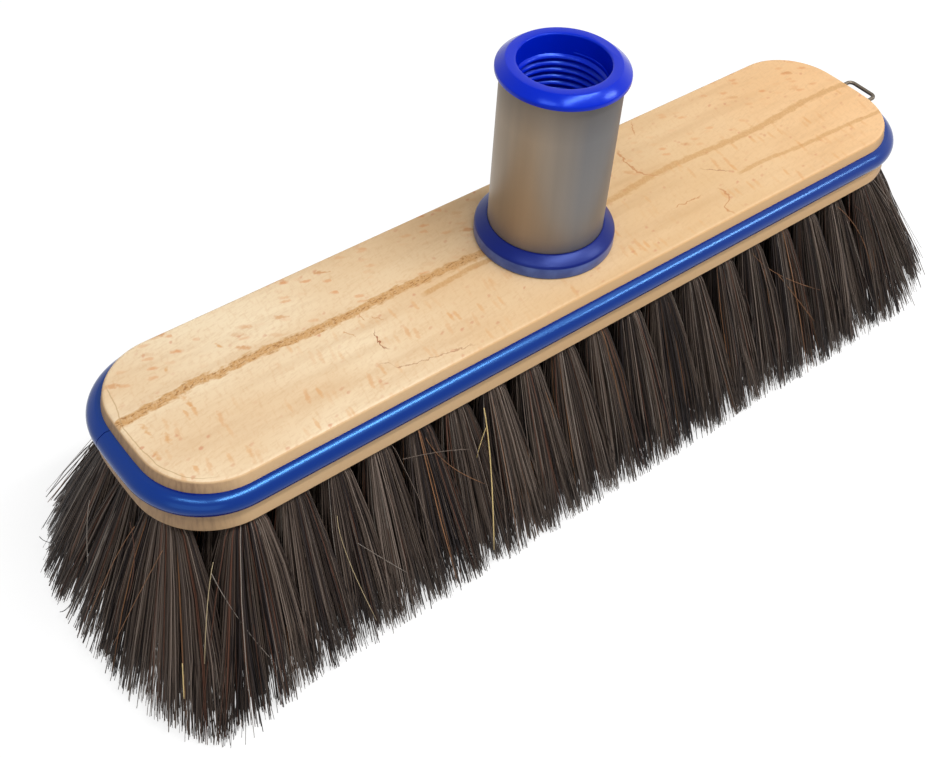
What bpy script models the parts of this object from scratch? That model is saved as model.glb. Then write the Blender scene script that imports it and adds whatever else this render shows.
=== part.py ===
# Floor broom head: a beech block with a bumper strip let into its edge, an upright threaded handle
# socket, a wire hanging staple and five staggered rows of horsehair tufts.
# It stands on its bristle tips at z = 0, with +X along the block and +Z up. Lengths are in metres.

import math

import bmesh
import bpy
from mathutils import Matrix, Vector

# Block: the outline is that of its underside, two wide end arcs with a smaller arc at each corner
BLOCK_LENGTH = 0.2800
BLOCK_WIDTH = 0.0598
BLOCK_THICKNESS = 0.0156
END_RADIUS = 0.2058
CORNER_RADIUS = 0.0224
WALL_LEAN = 0.0024
TOP_EDGE_RADIUS = 0.0022
UNDERSIDE_CHAMFER = 0.0005

# Bumper strip: half-round face, standing proud of the wall. Its butt joint is on the -X end, at a share
# of the angle from that end's middle to its corner
BUMPER_RADIUS = 0.0037
BUMPER_PROUD = 0.0026
BUMPER_SEAT_DEPTH = 0.0020
BUMPER_DROP = 0.0070
BUMPER_JOINT_SHARE = 0.88
BUMPER_JOINT_GAP = 0.0003

# Handle socket: heights count up from the block's top face
SOCKET_HEIGHT = 0.0590
SPIGOT_DEPTH = 0.0070
SPIGOT_CHAMFER = 0.0008
BORE_RADIUS = 0.0127
BORE_DEPTH = 0.0568
MOUTH_CHAMFER = 0.0006
THREAD_START = 0.0021
THREAD_PITCH = 0.0021
THREAD_HEIGHT = 0.0009
THREAD_TURNS = 12
SLEEVE_RADIUS = 0.01685
SLEEVE_WALL = 0.0009
SLEEVE_EDGE = 0.0002
FLANGE_RADIUS = 0.01835
FLANGE_LIP = 0.0012
FLANGE_CONE = 0.0022
COLLAR_RADIUS = 0.0206
COLLAR_RIM = 0.0041
COLLAR_HEIGHT = 0.0064
COLLAR_LEDGE = 0.0026
COLLAR_LAND = 0.0004

# Socket screws: on a circle round the socket's axis, through the floor of the insert
SCREW_COUNT = 3
SCREW_CIRCLE = 0.0075
SCREW_HEAD_RADIUS = 0.0038
SCREW_HEAD_HEIGHT = 0.0024
SCREW_CROWN_RADIUS = 0.0026
SCREW_EDGE = 0.0010
SCREW_SHANK_RADIUS = 0.0019
SCREW_BITE = 0.0034
SCREW_POINT = 0.0012
SCREW_SLOT_WIDTH = 0.0010
SCREW_SLOT_DEPTH = 0.0011

# Hanging staple: bent wire in the +X end of the block
WIRE_RADIUS = 0.00065
STAPLE_WIDTH = 0.0122
STAPLE_STAND = 0.0045
STAPLE_DROP = 0.0023
STAPLE_SIDE = -0.0033
STAPLE_BITE = 0.0090
STAPLE_BEND = 0.0018

# Tufts: rows along +X, each with a slice of the block that its strands are fused to
ROWS = 5
ROW_MARGIN = 0.0064
TUFT_PITCH = 0.01304
TUFT_RADIUS = 0.0023
SLICE_WIDTH = 0.0080
SLICE_THICKNESS = 0.0040
BRISTLE_LENGTH = 0.0494
TIP_REACH_SIDE = 0.0232
TIP_REACH_END = 0.0225
TIP_END_BOW = 0.0100
TIP_UNEVEN = 0.0030
TIP_TRIM = 0.0005
STRAND_ROOT_RADIUS = 0.0007
STRAND_TIP_RADIUS = 0.0018
STRAND_ROOT_DEPTH = 0.0010
STRAND_SIDES = 3
STRANDS_PER_TUFT = 5

# Tuft anchors: flat wire plates on edge, one over each tuft
ANCHOR_LENGTH = 0.0042
ANCHOR_HEIGHT = 0.0020
ANCHOR_THICKNESS = 0.0005
ANCHOR_WEB = 0.0004

# Fits and mesh detail
SEAT_GAP = 0.0003
CUT_OVERRUN = 0.0020
ROUND_STEPS = 36
SMALL_STEPS = 12
CORNER_STEPS = 6
END_STEPS = 4
BEND_STEPS = 4
FACE_STEPS = 6
SLOT_END_STEPS = 8
SMOOTH_ANGLE = math.radians(35)
GOLDEN_SHARE = (math.sqrt(5) - 1) / 2
MERGE_DISTANCE = SEAT_GAP / 100

# Levels and radii that several pieces share
UNDERSIDE_Z = BRISTLE_LENGTH
TOP_Z = UNDERSIDE_Z + BLOCK_THICKNESS
SOCKET_TOP_Z = TOP_Z + SOCKET_HEIGHT
FLANGE_Z = SOCKET_TOP_Z - FLANGE_CONE - FLANGE_LIP
BORE_FLOOR_Z = SOCKET_TOP_Z - BORE_DEPTH
INSERT_Z = TOP_Z - SPIGOT_DEPTH
CORE_RADIUS = SLEEVE_RADIUS - SLEEVE_WALL - SEAT_GAP
SLICE_TOP_Z = UNDERSIDE_Z + SLICE_THICKNESS

# Arc centres of the outline: an end arc's on the X axis, a corner arc's beside it
END_CENTRE_X = BLOCK_LENGTH / 2 - END_RADIUS
CORNER_CENTRE_Y = BLOCK_WIDTH / 2 - CORNER_RADIUS
CORNER_CENTRE_X = END_CENTRE_X + math.sqrt((END_RADIUS - CORNER_RADIUS) ** 2 - CORNER_CENTRE_Y ** 2)
END_ANGLE = math.atan2(CORNER_CENTRE_Y, CORNER_CENTRE_X - END_CENTRE_X)

# Rows: the outer ones run beside the long edges, and the tips share the floor's width evenly
OUTER_ROW_Y = BLOCK_WIDTH / 2 - ROW_MARGIN
TIP_ROW_WIDTH = (BLOCK_WIDTH + 2 * TIP_REACH_SIDE) / ROWS


def clear_scene():
    for item in list(bpy.data.objects):
        bpy.data.objects.remove(item, do_unlink=True)


def principled(name, colour, roughness, metallic=0.0):
    material = bpy.data.materials.new(name)
    material.use_nodes = True
    shader = material.node_tree.nodes["Principled BSDF"]
    shader.inputs["Base Color"].default_value = (*colour, 1.0)
    shader.inputs["Roughness"].default_value = roughness
    shader.inputs["Metallic"].default_value = metallic
    material.diffuse_color = (*colour, 1.0)
    return material


def add_object(name, bm, material=None, location=(0, 0, 0)):
    """Turn a bmesh into a named object under the broom's empty."""
    bmesh.ops.recalc_face_normals(bm, faces=bm.faces)
    mesh = bpy.data.meshes.new(name)
    bm.to_mesh(mesh)
    bm.free()
    mesh.shade_smooth()
    mesh.set_sharp_from_angle(angle=SMOOTH_ANGLE)
    item = bpy.data.objects.new(name, mesh)
    bpy.context.scene.collection.objects.link(item)
    item.location = location
    item.parent = broom
    if material:
        mesh.materials.append(material)
    return item


def as_cutter(item, group=None):
    """Keep an object only as the shape that a Boolean reads."""
    item.hide_render = True
    item.display_type = "WIRE"
    if group:
        group.objects.link(item)
    return item


def add_boolean(item, name, operation, other=None, group=None):
    modifier = item.modifiers.new(name, "BOOLEAN")
    modifier.operation = operation
    modifier.solver = "EXACT"
    if group:
        modifier.operand_type = "COLLECTION"
        modifier.collection = group
    else:
        modifier.object = other


def skin(bm, rings):
    """Join rings of equal length by quads, and cap the first and the last."""
    loops = [[bm.verts.new(point) for point in ring] for ring in rings]
    bm.faces.new(loops[0])
    bm.faces.new(loops[-1])
    for ring, following in zip(loops, loops[1:]):
        count = len(ring)
        for index in range(count):
            beside = (index + 1) % count
            bm.faces.new((ring[index], ring[beside], following[beside], following[index]))


def spin_profile(bm, profile, closed=False, steps=ROUND_STEPS):
    """Turn a chain of (radius, height) points once round +Z."""
    chain = [bm.verts.new((radius, 0, height)) for radius, height in profile]
    edges = [bm.edges.new(pair) for pair in zip(chain, chain[1:])]
    if closed:
        edges.append(bm.edges.new((chain[-1], chain[0])))
    bmesh.ops.spin(
        bm, geom=chain + edges, axis=(0, 0, 1), cent=(0, 0, 0), steps=steps, angle=math.tau, use_merge=True)
    bmesh.ops.remove_doubles(bm, verts=bm.verts, dist=MERGE_DISTANCE)


def turned_piece(name, profile, material=None, closed=False, steps=ROUND_STEPS, location=(0, 0, 0)):
    bm = bmesh.new()
    spin_profile(bm, profile, closed, steps)
    return add_object(name, bm, material, location)


def prism(name, outline, low, high):
    """Extrude a flat outline of (x, y) points upwards, from low to high."""
    bm = bmesh.new()
    skin(bm, [[Vector((x, y, z)) for x, y in outline] for z in (low, high)])
    return add_object(name, bm)


def rectangle(low_x, high_x, low_y, high_y):
    return [(low_x, low_y), (high_x, low_y), (high_x, high_y), (low_x, high_y)]


def wall_offset(height):
    """How far the leaning side wall stands inside the underside's outline at a height."""
    return -WALL_LEAN * (height - UNDERSIDE_Z) / (BLOCK_THICKNESS - TOP_EDGE_RADIUS)


def arc_stations(centre, radius, start, end, steps, keep_end=False):
    count = steps + 1 if keep_end else steps
    return [(*centre, radius, start + (end - start) * step / steps) for step in range(count)]


def outline_stations(start, half_gap=0.0):
    """Stations once round the block, counterclockwise from an angle on the -X end arc.

    Each holds an arc's centre and radius and the direction of the outline's normal there.
    """
    left, front, right, back = math.pi, 1.5 * math.pi, 2 * math.pi, 2.5 * math.pi
    left_again = 3 * math.pi
    left_end, right_end = (-END_CENTRE_X, 0), (END_CENTRE_X, 0)
    corner_x, corner_y = CORNER_CENTRE_X, CORNER_CENTRE_Y

    def end_arc(centre, first, last, keep_end=False):
        return arc_stations(centre, END_RADIUS, first, last, END_STEPS, keep_end)

    def corner_arc(centre, first, last, keep_end=False):
        return arc_stations(centre, CORNER_RADIUS, first, last, CORNER_STEPS, keep_end)

    stations = end_arc(left_end, start + half_gap, left + END_ANGLE)
    stations += corner_arc((-corner_x, -corner_y), left + END_ANGLE, front, keep_end=True)
    stations += corner_arc((corner_x, -corner_y), front, right - END_ANGLE)
    stations += end_arc(right_end, right - END_ANGLE, right + END_ANGLE)
    stations += corner_arc((corner_x, corner_y), right + END_ANGLE, back, keep_end=True)
    stations += corner_arc((-corner_x, corner_y), back, left_again - END_ANGLE)
    if half_gap:
        stations += end_arc(left_end, left_again - END_ANGLE, start + math.tau - half_gap, keep_end=True)
    return stations


def station_point(station, offset, height):
    centre_x, centre_y, radius, angle = station
    reach = radius + offset
    return Vector((centre_x + reach * math.cos(angle), centre_y + reach * math.sin(angle), height))


def row_reach(row_y):
    """Largest |x| on a row at which a tuft keeps its margin to the block's edge."""
    end_reach = END_RADIUS - ROW_MARGIN
    corner_reach = CORNER_RADIUS - ROW_MARGIN
    if abs(row_y) <= end_reach * math.sin(END_ANGLE):
        return END_CENTRE_X + math.sqrt(end_reach ** 2 - row_y ** 2)
    side = min(abs(row_y) - CORNER_CENTRE_Y, corner_reach)
    return CORNER_CENTRE_X + math.sqrt(corner_reach ** 2 - side ** 2)


def row_tufts(row):
    """Where the tufts of a row stand along X: odd and even counts take turns, so rows are staggered."""
    reach = row_reach(row_side(row))
    count = math.floor(2 * reach / TUFT_PITCH) + 1
    if count % 2 == row % 2:
        count -= 1
    return [reach * (2 * index / (count - 1) - 1) for index in range(count)]


def row_side(row):
    """Y of a row, from -Y to +Y."""
    return OUTER_ROW_Y * (2 * row / (ROWS - 1) - 1)


def row_outline(row, grow=0.0):
    """Long slot shape with round ends that holds every tuft of a row."""
    half_run = max(row_tufts(row))
    radius = SLICE_WIDTH / 2 + grow
    row_y = row_side(row)
    points = []
    for end, first in ((1, -math.pi / 2), (-1, math.pi / 2)):
        for step in range(SLOT_END_STEPS + 1):
            angle = first + math.pi * step / SLOT_END_STEPS
            points.append((end * half_run + radius * math.cos(angle), row_y + radius * math.sin(angle)))
    return points


def bumper_half_height():
    """Half the strip's height where its round face meets the wall."""
    return math.sqrt(BUMPER_RADIUS ** 2 - (BUMPER_RADIUS - BUMPER_PROUD) ** 2)


def block_profile():
    """Side wall from the top face down to the underside, as (offset, height) points."""
    edge_z = TOP_Z - TOP_EDGE_RADIUS
    points = []
    for step in range(BEND_STEPS + 1):
        angle = math.pi / 2 * (1 - step / BEND_STEPS)
        offset = wall_offset(edge_z) - TOP_EDGE_RADIUS * (1 - math.cos(angle))
        points.append((offset, edge_z + TOP_EDGE_RADIUS * math.sin(angle)))
    bumper_z = TOP_Z - BUMPER_DROP
    half = bumper_half_height() + SEAT_GAP
    back = wall_offset(bumper_z) - BUMPER_SEAT_DEPTH - SEAT_GAP
    high, low = bumper_z + half, bumper_z - half
    points += [(wall_offset(high), high), (back, high), (back, low), (wall_offset(low), low)]
    chamfer_z = UNDERSIDE_Z + UNDERSIDE_CHAMFER
    points += [(wall_offset(chamfer_z), chamfer_z), (-UNDERSIDE_CHAMFER, UNDERSIDE_Z)]
    return points


def row_cutters(group):
    """Slots for the tuft slices, and a narrow channel over each for the anchors."""
    for row in range(ROWS):
        high = SLICE_TOP_Z + SEAT_GAP
        slot = prism(f"slot_cutter_{row + 1}", row_outline(row, SEAT_GAP), UNDERSIDE_Z - CUT_OVERRUN, high)
        as_cutter(slot, group)
        half_run = max(row_tufts(row)) + ANCHOR_LENGTH / 2 + SEAT_GAP
        half_width = ANCHOR_THICKNESS / 2 + SEAT_GAP
        row_y = row_side(row)
        channel = prism(
            f"channel_cutter_{row + 1}",
            rectangle(-half_run, half_run, row_y - half_width, row_y + half_width),
            UNDERSIDE_Z + SLICE_THICKNESS / 2, high + ANCHOR_HEIGHT + SEAT_GAP)
        as_cutter(channel, group)


def hole_cutter(name, radius, low, high, location=(0, 0, 0), steps=SMALL_STEPS):
    profile = [(0, low), (radius, low), (radius, high), (0, high)]
    return turned_piece(name, profile, steps=steps, location=location)


def screw_places():
    for index in range(SCREW_COUNT):
        angle = math.tau * index / SCREW_COUNT + math.pi / 2
        yield index, (SCREW_CIRCLE * math.cos(angle), SCREW_CIRCLE * math.sin(angle), 0)


def socket_cutters(group):
    """Mortise for the insert's spigot and pilot holes for its screws."""
    floor = INSERT_Z - SEAT_GAP
    high = TOP_Z + CUT_OVERRUN
    mortise = hole_cutter("mortise_cutter", CORE_RADIUS + SEAT_GAP, floor, high, steps=ROUND_STEPS)
    as_cutter(mortise, group)
    for index, place in screw_places():
        low = INSERT_Z - SCREW_BITE - SEAT_GAP
        pilot = hole_cutter(f"pilot_cutter_{index + 1}", SCREW_SHANK_RADIUS + SEAT_GAP, low, INSERT_Z, place)
        as_cutter(pilot, group)


def end_face_x():
    """Where the +X end wall stands at the staple's height."""
    return BLOCK_LENGTH / 2 + wall_offset(TOP_Z - STAPLE_DROP)


def staple_legs():
    half = STAPLE_WIDTH / 2 - WIRE_RADIUS
    return STAPLE_SIDE - half, STAPLE_SIDE + half


def staple_cutters(group):
    """Holes in the end grain for the staple's two legs."""
    turn = Matrix.Rotation(math.pi / 2, 4, "Y")
    for index, leg_y in enumerate(staple_legs()):
        low = end_face_x() - STAPLE_BITE - SEAT_GAP
        hole = hole_cutter(
            f"staple_cutter_{index + 1}", WIRE_RADIUS + SEAT_GAP, low, end_face_x() + CUT_OVERRUN)
        hole.data.transform(turn)
        hole.location = (0, leg_y, TOP_Z - STAPLE_DROP)
        as_cutter(hole, group)


def make_block(material):
    stations = outline_stations(math.pi - END_ANGLE)
    bm = bmesh.new()
    skin(bm, [
        [station_point(place, offset, height) for place in stations]
        for offset, height in block_profile()])
    block = add_object("block", bm, material)
    cuts = bpy.data.collections.new("block_cutters")
    row_cutters(cuts)
    socket_cutters(cuts)
    staple_cutters(cuts)
    add_boolean(block, "cuts", "DIFFERENCE", group=cuts)


def bumper_profile():
    """Section of the strip: a flat back in its groove and a round face outside it."""
    centre_z = TOP_Z - BUMPER_DROP
    wall = wall_offset(centre_z)
    half = bumper_half_height()
    centre = wall + BUMPER_PROUD - BUMPER_RADIUS
    spread = math.atan2(half, BUMPER_RADIUS - BUMPER_PROUD)
    back = wall - BUMPER_SEAT_DEPTH
    points = [(back, centre_z + half), (back, centre_z - half)]
    for step in range(FACE_STEPS + 1):
        angle = spread * (2 * step / FACE_STEPS - 1)
        points.append((centre + BUMPER_RADIUS * math.cos(angle), centre_z + BUMPER_RADIUS * math.sin(angle)))
    return points


def make_bumper(material):
    joint = math.pi - END_ANGLE * BUMPER_JOINT_SHARE
    stations = outline_stations(joint, BUMPER_JOINT_GAP / END_RADIUS / 2)
    profile = bumper_profile()
    bm = bmesh.new()
    skin(bm, [[station_point(place, offset, height) for offset, height in profile] for place in stations])
    add_object("bumper_strip", bm, material)


def thread_radius(row, column):
    """Bore radius on the thread: ridges on odd rows, fading in and out at both ends."""
    turn = row / 2 + column / ROUND_STEPS
    fade = max(0.0, min(1.0, turn - 0.5, THREAD_TURNS - 0.5 - turn))
    return BORE_RADIUS - THREAD_HEIGHT * fade * (row % 2)


def add_thread(bm, low_z):
    """Helical bore wall: two rows a turn, where each turn's last column meets the next turn's first."""
    rows = 2 * THREAD_TURNS
    grid = {}
    for column in range(ROUND_STEPS):
        angle = math.tau * column / ROUND_STEPS
        for row in range(rows + 1):
            radius = thread_radius(row, column)
            height = low_z + THREAD_PITCH * (row / 2 + column / ROUND_STEPS)
            grid[row, column] = bm.verts.new((radius * math.cos(angle), radius * math.sin(angle), height))
    for column in range(ROUND_STEPS - 1):
        beside = column + 1
        for row in range(rows):
            above = row + 1
            bm.faces.new((grid[row, column], grid[row, beside], grid[above, beside], grid[above, column]))
    last = ROUND_STEPS - 1
    for row in range(rows - 2):
        bm.faces.new((grid[row, last], grid[row + 2, 0], grid[row + 3, 0], grid[row + 1, last]))
    for end_row, ring_z in ((0, low_z), (rows, low_z + THREAD_PITCH * (THREAD_TURNS + 1))):
        ring = []
        for column in range(ROUND_STEPS):
            angle = math.tau * column / ROUND_STEPS
            ring.append(bm.verts.new((BORE_RADIUS * math.cos(angle), BORE_RADIUS * math.sin(angle), ring_z)))
        for column in range(ROUND_STEPS - 1):
            corners = (ring[column], ring[column + 1], grid[end_row, column + 1], grid[end_row, column])
            bm.faces.new(corners)
        if end_row:
            step = [grid[rows, 0], grid[rows - 2, last], grid[rows - 1, last], grid[rows, last]]
        else:
            step = [grid[0, 0], grid[1, 0], grid[2, 0], grid[0, last]]
        bm.faces.new([ring[last], ring[0]] + step)


def make_insert(material):
    """Blue core: spigot in the block, flange over the sleeve and a threaded bore for the handle."""
    thread_top = SOCKET_TOP_Z - THREAD_START
    thread_low = thread_top - THREAD_PITCH * (THREAD_TURNS + 1)
    rim_radius = CORE_RADIUS
    bm = bmesh.new()
    spin_profile(bm, [
        (0, INSERT_Z), (CORE_RADIUS - SPIGOT_CHAMFER, INSERT_Z), (CORE_RADIUS, INSERT_Z + SPIGOT_CHAMFER),
        (CORE_RADIUS, FLANGE_Z), (FLANGE_RADIUS, FLANGE_Z), (FLANGE_RADIUS, FLANGE_Z + FLANGE_LIP),
        (rim_radius, SOCKET_TOP_Z), (BORE_RADIUS + MOUTH_CHAMFER, SOCKET_TOP_Z),
        (BORE_RADIUS, SOCKET_TOP_Z - MOUTH_CHAMFER), (BORE_RADIUS, thread_top)])
    spin_profile(bm, [(BORE_RADIUS, thread_low), (BORE_RADIUS, BORE_FLOOR_Z), (0, BORE_FLOOR_Z)])
    add_thread(bm, thread_low)
    bmesh.ops.remove_doubles(bm, verts=bm.verts, dist=MERGE_DISTANCE)
    insert = add_object("threaded_insert", bm, material)
    holes = bpy.data.collections.new("insert_cutters")
    for index, place in screw_places():
        hole = hole_cutter(
            f"screw_hole_cutter_{index + 1}", SCREW_SHANK_RADIUS + SEAT_GAP,
            INSERT_Z - CUT_OVERRUN, BORE_FLOOR_Z + CUT_OVERRUN, place)
        as_cutter(hole, holes)
    add_boolean(insert, "screw_holes", "DIFFERENCE", group=holes)


def make_sleeve(material):
    low = TOP_Z + COLLAR_LEDGE + SEAT_GAP
    high = FLANGE_Z - SEAT_GAP
    inner = SLEEVE_RADIUS - SLEEVE_WALL
    turned_piece("socket_sleeve", [
        (inner, low), (SLEEVE_RADIUS - SLEEVE_EDGE, low), (SLEEVE_RADIUS, low + SLEEVE_EDGE),
        (SLEEVE_RADIUS, high - SLEEVE_EDGE), (SLEEVE_RADIUS - SLEEVE_EDGE, high), (inner, high)],
        material, closed=True)


def make_collar(material):
    """Ring at the socket's foot, with a ledge inside that the sleeve stands on."""
    passage = CORE_RADIUS + SEAT_GAP
    pocket = SLEEVE_RADIUS + SEAT_GAP
    turned_piece("base_collar", [
        (passage, TOP_Z + SEAT_GAP), (COLLAR_RADIUS, TOP_Z + SEAT_GAP), (COLLAR_RADIUS, TOP_Z + COLLAR_RIM),
        (pocket + COLLAR_LAND, TOP_Z + COLLAR_HEIGHT), (pocket, TOP_Z + COLLAR_HEIGHT),
        (pocket, TOP_Z + COLLAR_LEDGE), (passage, TOP_Z + COLLAR_LEDGE)],
        material, closed=True)


def make_screws(material):
    """Pan-head wood screws with a slotted head."""
    seat = BORE_FLOOR_Z + SEAT_GAP
    point = INSERT_Z - SCREW_BITE
    crown = seat + SCREW_HEAD_HEIGHT
    for index, place in screw_places():
        screw = turned_piece(f"socket_screw_{index + 1}", [
            (0, point), (SCREW_SHANK_RADIUS, point + SCREW_POINT), (SCREW_SHANK_RADIUS, seat),
            (SCREW_HEAD_RADIUS, seat), (SCREW_HEAD_RADIUS, seat + SCREW_EDGE), (SCREW_CROWN_RADIUS, crown),
            (0, crown)], material, steps=SMALL_STEPS, location=place)
        half_width = SCREW_SLOT_WIDTH / 2
        half_run = SCREW_HEAD_RADIUS + CUT_OVERRUN
        slot = prism(
            f"screw_slot_cutter_{index + 1}", rectangle(-half_run, half_run, -half_width, half_width),
            crown - SCREW_SLOT_DEPTH, crown + CUT_OVERRUN)
        slot.location = place
        slot.rotation_euler.z = math.tau * GOLDEN_SHARE * index
        add_boolean(screw, "slot", "DIFFERENCE", as_cutter(slot))


def make_staple(material):
    """Bent wire: two legs in the end grain, round bends and a crown that stands off the wall."""
    first_y, last_y = staple_legs()
    tail_x = end_face_x() - STAPLE_BITE
    bend_x = end_face_x() + STAPLE_STAND - WIRE_RADIUS - STAPLE_BEND
    points = [(tail_x, first_y)]
    for centre_y, start in ((first_y + STAPLE_BEND, -math.pi / 2), (last_y - STAPLE_BEND, 0)):
        for step in range(BEND_STEPS + 1):
            angle = start + math.pi / 2 * step / BEND_STEPS
            points.append((bend_x + STAPLE_BEND * math.cos(angle), centre_y + STAPLE_BEND * math.sin(angle)))
    points.append((tail_x, last_y))
    curve = bpy.data.curves.new("hanging_staple", "CURVE")
    curve.dimensions = "3D"
    curve.bevel_depth = WIRE_RADIUS
    curve.bevel_resolution = 2
    curve.use_fill_caps = True
    spline = curve.splines.new("POLY")
    spline.points.add(len(points) - 1)
    for target, (x, y) in zip(spline.points, points):
        target.co = (x, y, TOP_Z - STAPLE_DROP, 1)
    curve.materials.append(material)
    staple = bpy.data.objects.new("hanging_staple", curve)
    bpy.context.scene.collection.objects.link(staple)
    staple.parent = broom


def tips_end(tip_y):
    """Largest |x| that the tips reach at a side offset: their print on the floor has bowed ends."""
    half_width = BLOCK_WIDTH / 2 + TIP_REACH_SIDE
    return BLOCK_LENGTH / 2 + TIP_REACH_END - TIP_END_BOW * (tip_y / half_width) ** 2


def fan_out(x, run, end):
    """Where a tuft at x has its tip, and how much further apart tips stand there than roots.

    Tufts hang straight at the middle of a row and lean out more and more towards its ends: the run
    is where its last tuft stands, and the end is as far as that tuft's tips may reach.
    """
    room = end - run - TUFT_PITCH / 2
    lean = room / (1 + 3 * TUFT_PITCH / 2 / run)
    share = abs(x) / run
    return x + math.copysign(lean * share ** 3, x), 1 + 3 * lean / run * share ** 2


def tuft_strands(row, x, number):
    """Root, tip, tip height and turn of each strand of a tuft. All spread by one rule, so none cross."""
    tip_y = TIP_ROW_WIDTH * (row - (ROWS - 1) / 2)
    tip_x, stretch = fan_out(x, row_reach(row_side(row)), tips_end(tip_y))
    root_ring = TUFT_RADIUS - STRAND_ROOT_RADIUS
    margin = STRAND_TIP_RADIUS + SEAT_GAP
    spread_x = TUFT_PITCH * stretch / 2 - margin
    spread_y = TIP_ROW_WIDTH / 2 - margin
    for index in range(STRANDS_PER_TUFT):
        angle = math.tau * (index / STRANDS_PER_TUFT + GOLDEN_SHARE * number)
        across = math.copysign(1, x) * math.cos(angle)
        along = math.copysign(1, tip_y) * math.sin(angle)
        root = Vector((x + root_ring * across, row_side(row) + root_ring * along, UNDERSIDE_Z))
        tip = Vector((tip_x + spread_x * across, tip_y + spread_y * along, 0))
        uneven = GOLDEN_SHARE * (number * STRANDS_PER_TUFT + index) % 1
        yield root, tip, max(0, TIP_UNEVEN * uneven - TIP_TRIM)


def add_strand(bm, root, tip, tip_z):
    """Tapered strand from inside the slice down to its tip, cut level at both ends."""
    slope = (tip - root) / BRISTLE_LENGTH
    facing = math.atan2(slope.y, slope.x)
    rings = []
    for height in (UNDERSIDE_Z + STRAND_ROOT_DEPTH, tip_z):
        drop = UNDERSIDE_Z - height
        radius = STRAND_ROOT_RADIUS + (STRAND_TIP_RADIUS - STRAND_ROOT_RADIUS) * drop / BRISTLE_LENGTH
        centre = root + slope * drop
        ring = []
        for side in range(STRAND_SIDES):
            turn = facing + math.tau * side / STRAND_SIDES
            ring.append(centre + Vector((radius * math.cos(turn), radius * math.sin(turn), 0)))
        rings.append(ring)
    skin(bm, rings)


def make_tuft_rows(material):
    """Five rows: in each, every tuft's strands are fused to one slice of the block's underside."""
    for row in range(ROWS):
        slice_piece = prism(f"tuft_row_{row + 1}", row_outline(row), UNDERSIDE_Z, SLICE_TOP_Z)
        slice_piece.data.materials.append(material)
        tufts = row_tufts(row)
        bm = bmesh.new()
        for index, x in enumerate(tufts):
            number = abs(2 * index - len(tufts) + 1) + ROWS * abs(2 * row - ROWS + 1)
            for strand in tuft_strands(row, x, number):
                add_strand(bm, *strand)
        strands = add_object(f"strands_{row + 1}", bm, material)
        add_boolean(slice_piece, "strands", "UNION", as_cutter(strands))


def make_anchors(material):
    """A row's anchors: a plate on edge over each tuft, joined to the next by a low web."""
    low = SLICE_TOP_Z + SEAT_GAP
    for row in range(ROWS):
        top = []
        for x in row_tufts(row):
            start, end = x - ANCHOR_LENGTH / 2, x + ANCHOR_LENGTH / 2
            top += [
                (start, low + ANCHOR_WEB), (start, low + ANCHOR_HEIGHT),
                (end, low + ANCHOR_HEIGHT), (end, low + ANCHOR_WEB)]
        outline = [(top[0][0], low)] + top[1:-1] + [(top[-1][0], low)]
        sides = (row_side(row) - ANCHOR_THICKNESS / 2, row_side(row) + ANCHOR_THICKNESS / 2)
        bm = bmesh.new()
        skin(bm, [[Vector((x, y, z)) for x, z in outline] for y in sides])
        add_object(f"tuft_anchors_{row + 1}", bm, material)


clear_scene()
broom = bpy.data.objects.new("broom", None)
bpy.context.scene.collection.objects.link(broom)

make_block(principled("beech", (0.85, 0.66, 0.42), 0.55))
make_bumper(principled("bumper_vinyl", (0.006, 0.045, 0.40), 0.25))
make_insert(principled("insert_plastic", (0.008, 0.035, 0.42), 0.35))
make_sleeve(principled("sleeve_metal", (0.24, 0.22, 0.19), 0.45, 0.8))
make_collar(principled("collar_plastic", (0.008, 0.035, 0.42), 0.35))
make_screws(principled("screw_steel", (0.55, 0.55, 0.53), 0.35, 1.0))
make_staple(principled("staple_steel", (0.16, 0.14, 0.12), 0.45, 0.9))
make_tuft_rows(principled("horsehair", (0.030, 0.022, 0.018), 0.6))
make_anchors(principled("anchor_steel", (0.50, 0.48, 0.45), 0.4, 1.0))
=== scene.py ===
# Floor broom head: a beech block with a blue bumper strip round its edge, an upright threaded handle
# socket, a wire staple to hang it by, and five rows of dark horsehair. The sections follow the way it is
# put together. Lengths are in metres unless a name or a comment says mm.

import math

import bmesh
import bpy
import numpy as np
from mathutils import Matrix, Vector


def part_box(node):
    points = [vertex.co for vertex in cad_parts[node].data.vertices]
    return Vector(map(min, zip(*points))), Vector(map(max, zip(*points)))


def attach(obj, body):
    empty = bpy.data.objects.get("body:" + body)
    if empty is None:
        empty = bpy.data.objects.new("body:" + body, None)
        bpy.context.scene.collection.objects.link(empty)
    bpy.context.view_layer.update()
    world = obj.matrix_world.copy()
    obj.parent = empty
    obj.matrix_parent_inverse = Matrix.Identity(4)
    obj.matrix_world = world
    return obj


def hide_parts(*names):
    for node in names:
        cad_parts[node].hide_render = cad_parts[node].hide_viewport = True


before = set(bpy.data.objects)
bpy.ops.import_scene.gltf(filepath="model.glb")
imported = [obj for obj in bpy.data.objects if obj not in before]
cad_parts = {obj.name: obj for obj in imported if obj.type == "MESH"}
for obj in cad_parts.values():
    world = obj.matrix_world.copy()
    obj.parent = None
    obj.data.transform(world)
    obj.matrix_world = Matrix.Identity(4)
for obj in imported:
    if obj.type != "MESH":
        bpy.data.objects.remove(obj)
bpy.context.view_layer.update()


# Studio
# The broom head stands on a pale floor. A wide soft box lights it from the right, three strip lamps in
# front give the bumper its shine, and a wide weak lamp fills the shade on the left.
# The camera has the photograph's place: a 50 mm lens 0.44 m off, above the end without the staple.
CAMERA_PLACE = (-0.21125, -0.21194, 0.31777)
CAMERA_TURN_DEGREES = (43.123, -3.159, -38.232)
CAMERA_LENS_MM = 50.42
FILM_WIDTH_MM = 36
AMBIENT_STRENGTH = 0.30
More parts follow.
